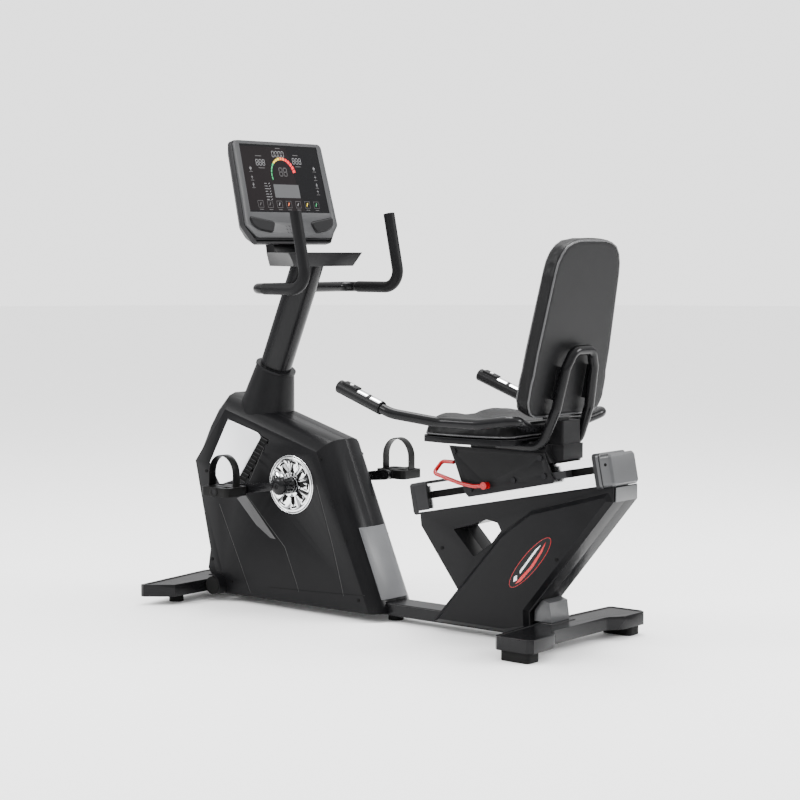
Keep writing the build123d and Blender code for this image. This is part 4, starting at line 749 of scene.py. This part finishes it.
def make_wheel(place, word):
    """Chromed crank wheel: a bright rim, pressed petals and openings painted near-black as painted shade.
    """
    span = WHEEL_OUT - WHEEL_IN
    work = bmesh.new()
    grid = []
    for i in range(WHEEL_RINGS + 1):
        radius = WHEEL_IN + span * i / WHEEL_RINGS
        row = []
        for j in range(WHEEL_TURNS):
            angle = 2 * pi * j / WHEEL_TURNS
            x, z = CRANK[0] + radius * cos(angle), CRANK[1] + radius * sin(angle)
            row.append(work.verts.new(place(x, z, wheel_height(radius, angle))))
        grid.append(row)
    for i in range(WHEEL_RINGS):
        radius = WHEEL_IN + span * (i + 0.5) / WHEEL_RINGS
        for j in range(WHEEL_TURNS):
            k = (j + 1) % WHEEL_TURNS
            face = work.faces.new((grid[i][j], grid[i + 1][j], grid[i + 1][k], grid[i][k]))
            # near-black faces: painted shade standing for the openings
            face.material_index = 1 if wheel_dark(radius, j / WHEEL_TURNS) else 0
    mesh = mesh_from(work, f"crank_wheel_{word}")
    mesh.materials.append(MATERIALS["chrome"])
    mesh.materials.append(MATERIALS["groove"])
    piece = add_piece(f"crank_wheel_{word}", mesh, None, "crankset")
    thick = piece.modifiers.new("Solidify", "SOLIDIFY")
    thick.thickness, thick.offset = WHEEL_THICK * MM, 0
    apply_modifiers(piece)


def make_crank_cap(place, word):
    """Rounded cap over the crank's bolt; its innermost rings are the hexagon socket."""
    work = bmesh.new()
    rings = []
    for radius, height in CAP_RINGS:
        ring = []
        for j in range(CAP_SIDES):
            turn = 2 * pi * j / CAP_SIDES
            reach = radius * cos(pi / 6) / cos(turn % (pi / 3) - pi / 6) if radius < 7 else radius
            spot = (CRANK[0] + reach * cos(turn), CRANK[1] + reach * sin(turn), CAP_FACE + height - 3)
            ring.append(work.verts.new(place(*spot)))
        rings.append(ring)
    for inner, outer in zip(rings, rings[1:]):
        for j in range(CAP_SIDES):
            k = (j + 1) % CAP_SIDES
            work.faces.new((inner[j], inner[k], outer[k], outer[j]))
    work.faces.new(rings[0])
    work.faces.new(rings[-1])
    add_piece(f"crank_cap_{word}", mesh_from(work, "cap"), "black_metal", "crankset")


def make_rosettes():
    """Crank wheel and crank cap on each side, facing out."""
    for side, word in SIDES:
        place = side_place(side, 0)
        make_wheel(place, word)
        make_crank_cap(place, word)


# ---------------------------------------------------------------- console

TILT = radians(14)
CONSOLE_CENTRE = Vector((-412.5, 0, 1215.0))
CONSOLE_OUT, CONSOLE_UP = Vector((cos(TILT), 0, sin(TILT))), Vector((-sin(TILT), 0, cos(TILT)))
SCREEN_FACE = -1.5


def console_place(u, v, h):
    """Frame point from distances in mm across, up and out of the console's face."""
    return (CONSOLE_CENTRE + Vector((0, u, 0)) + CONSOLE_UP * v + CONSOLE_OUT * h) * MM


SEGMENTS = {
    "a": ((0.1, 1.0), (0.9, 1.0)), "b": ((1.0, 0.95), (1.0, 0.55)), "c": ((1.0, 0.45), (1.0, 0.05)),
    "d": ((0.1, 0.0), (0.9, 0.0)), "e": ((0.0, 0.45), (0.0, 0.05)), "f": ((0.0, 0.95), (0.0, 0.55)),
    "g": ((0.1, 0.5), (0.9, 0.5)),
}
LIT = {"0": "abcdef", "1": "bc", "2": "abged", "5": "afgcd", "8": "abcdefg", "4": "fgbc"}
SHOWN = (SCREEN_FACE + 0.05, SCREEN_FACE + 0.30)


def bar(work, start, end, width, material=0, height=SHOWN):
    """Thin lit bar between two points of the display."""
    ribbon(work, [start, end], width, height[0], height[1], console_place, material)


def digits(work, text, left, bottom, wide, tall, gap, weight, material=0):
    """Seven-segment digits."""
    for k, figure in enumerate(text):
        x = left + k * (wide + gap)
        for name in LIT[figure]:
            (ax, ay), (bx, by) = SEGMENTS[name]
            start, end = (x + ax * wide, bottom + ay * tall), (x + bx * wide, bottom + by * tall)
            bar(work, start, end, weight, material)


def box_outline(work, u, v, wide, tall, weight, material=0):
    """Thin square frame centred at u, v."""
    corners = [(u - wide / 2, v - tall / 2), (u + wide / 2, v - tall / 2),
               (u + wide / 2, v + tall / 2), (u - wide / 2, v + tall / 2)]
    for start, end in zip(corners, corners[1:] + corners[:1]):
        bar(work, start, end, weight, material)


DISPLAY_COLOURS = ["mark_white", "mark_dim", "mark_green", "mark_yellow", "mark_orange", "mark_red", "lcd"]
WHITE, DIM, GREEN, YELLOW, ORANGE, RED, LCD = range(7)
FIGURES = (
    # text, left, bottom, width, height, gap, weight, colour
    ("888", -108, 80, 9, 17, 4.5, 1.6, WHITE),
    ("0000", -34, 107, 9, 17, 4.5, 1.6, WHITE),
    ("888", 50, 88, 9, 17, 4.5, 1.6, WHITE),
    ("88", -16, 50, 13, 24, 6, 2.4, DIM),
)
# middle and length of the short line that stands for each caption
CAPTIONS = ((-94, 108, 26), (-6, 133, 20), (66, 114, 22), (-88, 72, 26), (70, 80, 24))
GAUGE_CENTRE, GAUGE_RADIUS = (0, 52), 50
GAUGE_STEPS, GAUGE_START, GAUGE_SWEEP, GAUGE_FILL = 15, 196, 188, 0.82
GAUGE_THIN, GAUGE_GROWTH, GAUGE_CHORDS = 3.2, 9, 3
TEXT_WINDOW = [(-52, -16), (56, -16), (56, 24), (-52, 24)]
GLARE = [(-165, 136), (28, 136), (66, -55), (-169, -55)]
KEY_COLOURS = (DIM, DIM, WHITE, ORANGE, WHITE, YELLOW, GREEN)
KEY_FIRST, KEY_PITCH, KEY_ROW = -120, 40, -36
CORNER_PAD = [(-180, -74), (-76, -90), (-94, -122), (-150, -113), (-175, -98)]


def draw_gauge(work):
    """Effort gauge: thin and green on the left, growing to thick and red on the right."""
    for k in range(GAUGE_STEPS):
        start = GAUGE_START - GAUGE_SWEEP * k / GAUGE_STEPS
        end = GAUGE_START - GAUGE_SWEEP * (k + GAUGE_FILL) / GAUGE_STEPS
        thick = GAUGE_THIN + GAUGE_GROWTH * (k / (GAUGE_STEPS - 1)) ** 1.2
        colour = GREEN if k < 5 else YELLOW if k < 8 else ORANGE if k < 10 else RED
        for chord in range(GAUGE_CHORDS):
            low = start + (end - start) * chord / GAUGE_CHORDS
            high = start + (end - start) * (chord + 1) / GAUGE_CHORDS
            bar(work, *arc_points(GAUGE_CENTRE, GAUGE_RADIUS, low, high, 1), thick, colour)


def draw_marks(work):
    """Captions, text window with its list, side columns of marks and the row of boxed keys."""
    for u, v, long in CAPTIONS:
        bar(work, (u - long / 2, v), (u + long / 2, v), 2.2, DIM)
    draw_gauge(work)
    prism(work, TEXT_WINDOW, *SHOWN, console_place, LCD)
    for k in range(7):
        v = 26 - 8 * k
        bar(work, (-90, v), (-90 + 10 + 3 * (k % 3), v), 1.5, WHITE)
        bar(work, (-72, v - 1.5), (-66, v + 2), 1.5, WHITE)
    for u, spots in ((-136, (66, 40, 18)), (138, (72, 46, 22, 2))):
        for k, v in enumerate(spots):
            bar(work, (u - 4, v + 4), (u + 4, v + 4), 4.5 if k == 0 else 1.8, WHITE)
            bar(work, (u - 7, v - 6), (u + 7, v - 6), 1.6, DIM)
            bar(work, (u, v + 9), (u, v - 3), 1.8, WHITE if k % 2 == 0 else DIM)
    for k, colour in enumerate(KEY_COLOURS):
        u, v = KEY_FIRST + KEY_PITCH * k, KEY_ROW
        box_outline(work, u, v, 22, 20, 1.0, DIM)
        bar(work, (u - 3, v - 4), (u + 2, v + 5), 2.8, colour)
        bar(work, (u - 8, v - 16), (u + 8, v - 16), 1.8, DIM)


def make_slots():
    """Vent slots below the display, drawn as near-black strips: painted shade in the slots."""
    work = bmesh.new()
    for k in range(4):
        u = -34 + 13 * k
        for row in range(3):
            v = -100 - 9 * row
            ribbon(work, [(u + 2 * row, v), (u + 6 + 2 * row, v - 5)], 1.6, 0.02, 0.25, console_place)
    add_detail("console_slots", work, "groove")


def make_corner_pads():
    """Soft pad in each lower corner of the console, with a shadow line round it."""
    for side, word in ((1, "left"), (-1, "right")):
        outline = rounded([(side * x, y) for x, y in CORNER_PAD], 14, 5)
        work = bmesh.new()
        lower = [work.verts.new(console_place(u, v, 1.6)) for u, v in outline]
        upper = [work.verts.new(console_place(u, v, 4.2)) for u, v in inset(outline, 3)]
        solid_between(work, lower, upper)
        add_detail(f"console_pad_{word}", work, "pad_plastic")
        work = bmesh.new()
        ribbon(work, outline + [outline[0]], 3.0, 0.05, 0.5, console_place)
        add_detail(f"console_pad_gap_{word}", work, "groove")


def make_display():
    """Generic workout display: figures, a coloured effort gauge, a text window and key marks."""
    work = bmesh.new()
    for row in FIGURES:
        digits(work, *row)
    draw_marks(work)
    glare = bmesh.new()
    prism(glare, GLARE, SCREEN_FACE + 0.01, SCREEN_FACE + 0.04, console_place)
    add_detail("screen_glare", glare, "glare")
    mesh = mesh_from(work, "display_marks")
    for name in DISPLAY_COLOURS:
        mesh.materials.append(MATERIALS[name])
    add_piece("display_marks", mesh, None, "frame", smooth=False)
    make_slots()
    make_corner_pads()


# ---------------------------------------------------------------- shroud, rail and badge

RAIL_ANGLE, RAIL_FOOT = radians(11.3), Vector((112.0, 0.0, 320.0))
RAIL_ALONG = Vector((cos(RAIL_ANGLE), 0, sin(RAIL_ANGLE)))
RAIL_UP = Vector((-sin(RAIL_ANGLE), 0, cos(RAIL_ANGLE)))
# outlines across the rail, as (across, up)
REAR_CAP = [(-63, -8), (63, -8), (63, 84), (-63, 84)]
NOSE = [(-62, 0.3), (62, 0.3), (62, 82), (-62, 82)]
RAIL_GROOVE = [(62, 33.2), (617, 33.2), (617, 52.8), (62, 52.8)]
RAIL_SIDE, REAR_CAP_SIDE = 40, 61
SCREW_SPOT, SCREW_RADIUS, SCREW_SIDES = (656, 52), 4.2, 24
SHROUD_FACE = 68.0
BADGE_CENTRE, BADGE_LONG, BADGE_WIDE, BADGE_TURN = (514.5, 223.5), 190.0, 46.0, 47.4


def badge_place(side):
    """Maps badge (along, across, height) to the frame on the shroud's side panel."""
    turn = radians(BADGE_TURN)

    def place(u, v, h):
        x = BADGE_CENTRE[0] + u * cos(turn) - v * sin(turn)
        z = BADGE_CENTRE[1] + u * sin(turn) + v * cos(turn)
        return Vector((x, side * (SHROUD_FACE + h), z)) * MM

    return place


def rail_place(u, v, w):
    """Frame point, in metres, from mm along the rail, across it and above its underside."""
    return (RAIL_FOOT + RAIL_ALONG * u + RAIL_UP * w + Vector((0, v, 0))) * MM


def hoop(name, u, width, proud, material, outline=REAR_CAP, inner=-1.0):
    """Flat hoop round the rail at distance u along it, proud of the outline by so many mm."""
    corners = rounded(outline, 12, 5)
    work = bmesh.new()
    rows = []
    for shift, grow in ((0, inner), (0, proud), (width, proud), (width, inner)):
        rows.append([work.verts.new(rail_place(u + shift, v, w)) for v, w in inset(corners, -grow)])
    for a, b in zip(rows, rows[1:] + rows[:1]):
        for i in range(len(corners)):
            j = (i + 1) % len(corners)
            work.faces.new((a[i], a[j], b[j], b[i]))
    add_detail(name, work, material)


def make_rail_details():
    """Groove along each side of the rail painted near-black as painted shade, nose sleeve, and the rear
    cap's band, seam and screws.
    """
    # near-black strip in each groove of the rail: painted shade
    for side, word in SIDES:
        work = bmesh.new()
        prism(work, RAIL_GROOVE, -0.2, 0.25, lambda u, w, h: rail_place(u, side * (RAIL_SIDE + h), w))
        add_detail(f"rail_groove_{word}", work, "groove")
    hoop("rail_nose", 20.2, 39, 0.3, "dark_plastic", NOSE, -8.0)
    hoop("rear_cap_band", 618.6, 11, 0.5, "dark_plastic")
    hoop("rear_cap_seam", 638.2, 1.6, 0.25, "groove")
    turns = [2 * pi * k / SCREW_SIDES for k in range(SCREW_SIDES)]
    disc = [(SCREW_SPOT[0] + SCREW_RADIUS * cos(t), SCREW_SPOT[1] + SCREW_RADIUS * sin(t)) for t in turns]
    for side, word in SIDES:
        work = bmesh.new()
        prism(work, disc, -0.4, 0.3, lambda u, w, h: rail_place(u, side * (REAR_CAP_SIDE + h), w))
        add_detail(f"rear_cap_screw_{word}", work, "groove")


SWOOSH = [(-78, -7), (-60, -14), (0, -15), (52, -7), (80, 3), (40, -3), (-10, -8), (-52, -6)]
STRIPE = [(-46, 1), (-40, 7), (40, 12), (62, 8), (16, 5)]
SPARK = [(-78, 1), (-66, 9), (-56, 5), (-66, -4)]


def badge_ellipse(grow):
    """Outline of the badge, larger by so many mm."""
    turns = [2 * pi * k / 64 for k in range(64)]
    return [((BADGE_LONG / 2 + grow) * cos(t), (BADGE_WIDE / 2 + grow) * sin(t)) for t in turns]


def make_badges():
    """Plain decal: a dark ellipse with a red edge and a red swoosh, without any lettering."""
    for side, word in SIDES:
        place = badge_place(side)
        for name, outline, low, high, colour in (
            ("edge", badge_ellipse(1.2), 0.02, 0.25, "decal_red"),
            ("field", badge_ellipse(0.0), 0.2, 0.45, "decal_black"),
            ("swoosh", SWOOSH, 0.4, 0.6, "decal_red"),
            ("stripe", STRIPE, 0.4, 0.6, "decal_silver"),
            ("spark", SPARK, 0.4, 0.6, "decal_silver"),
        ):
            work = bmesh.new()
            prism(work, outline, low, high, place)
            add_detail(f"badge_{name}_{word}", work, colour)


def make_pulse_plates():
    """Pulse plates with their bright metal on top only; their flanks are black like the grip."""
    mesh = NODES["pulse_plates"].data.copy()
    mesh.materials.clear()
    mesh.materials.append(MATERIALS["chrome"])
    mesh.materials.append(MATERIALS["grip_plastic"])
    for face in mesh.polygons:
        face.material_index = 0 if face.normal.z > 0.62 else 1
    piece = add_piece("pulse_plates_shell", mesh, None, "carriage", smooth=False)
    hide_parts("pulse_plates")


def make_all():
    """Build every piece."""
    make_stage()
    for node, (material, width) in ROUNDED.items():
        soften(node, material, width)
    for node, material in PLAIN.items():
        paint(NODES[node], material)
    make_seat_cushion()
    make_backrest()
    make_casing_details()
    make_rosettes()
    make_display()
    make_badges()
    make_rail_details()
    make_pulse_plates()


ROUNDED = {
    "casing_left": ("case_plastic", 3.0), "casing_right": ("case_plastic", 3.0),
    "casing_inserts": ("silver_plastic", 0.8), "casing_rear_cover": ("grey_plastic", 1.6),
    "front_stabiliser": ("black_metal", 1.8), "rear_stabiliser": ("black_metal", 1.8),
    "rear_pads": ("black_rubber", 2.5), "accessory_tray": ("case_plastic", 2.0),
    "console_housing": ("dark_plastic", 1.0), "console_bezel": ("bezel_plastic", 1.6),
    "shroud_left": ("case_plastic", 2.6), "shroud_right": ("case_plastic", 2.6),
    "post_covers": ("cap_plastic", 2.0), "rail_cap_front": ("dark_plastic", 2.5),
    "rail_cap_rear": ("cap_plastic", 3.0),
    "carriage_plate_left": ("plate_metal", 1.0), "carriage_plate_right": ("plate_metal", 1.0),
    "carriage_block": ("plate_metal", 1.0), "seat_pan": ("case_plastic", 2.0),
    "crank_left": ("black_metal", 3.0), "crank_right": ("black_metal", 3.0),
    "pedal_left": ("pedal_plastic", 1.5), "pedal_right": ("pedal_plastic", 1.5),
    "pedal_strap_left": ("strap", 0.8), "pedal_strap_right": ("strap", 0.8),
}
PLAIN = {
    "base_beam": "black_metal", "foot_front_left": "black_rubber", "foot_front_right": "black_rubber",
    "foot_mid": "black_rubber", "transport_wheels": "black_rubber", "drive_frame": "black_metal",
    "mast": "black_metal", "bearings": "steel", "flywheel": "iron", "brake_coil": "dark_plastic",
    "drive_pulley": "alloy", "drive_belt": "black_rubber", "crank_spindle": "steel",
    "crank_discs": "dark_steel", "pedal_spindles": "dark_steel", "mast_boot": "boot_plastic",
    "front_handlebar": "black_metal", "front_grips": "foam", "console_screen": "screen",
    "rear_frame": "black_metal", "rail": "rail_alloy", "rail_stops": "black_rubber",
    "slide_shoes": "dark_plastic", "carriage_bolts": "dark_steel", "release_lever": "red_metal",
    "lock_pin": "steel", "seat_handlebar": "black_metal", "seat_grips": "grip_plastic",
    "button_left": "white_plastic", "button_right": "white_plastic",
    # cover screws in the near-black groove finish: partly their own black, partly painted shade of their
    # recesses
    "backrest_loop": "black_metal", "cover_screws": "groove",
}

make_all()
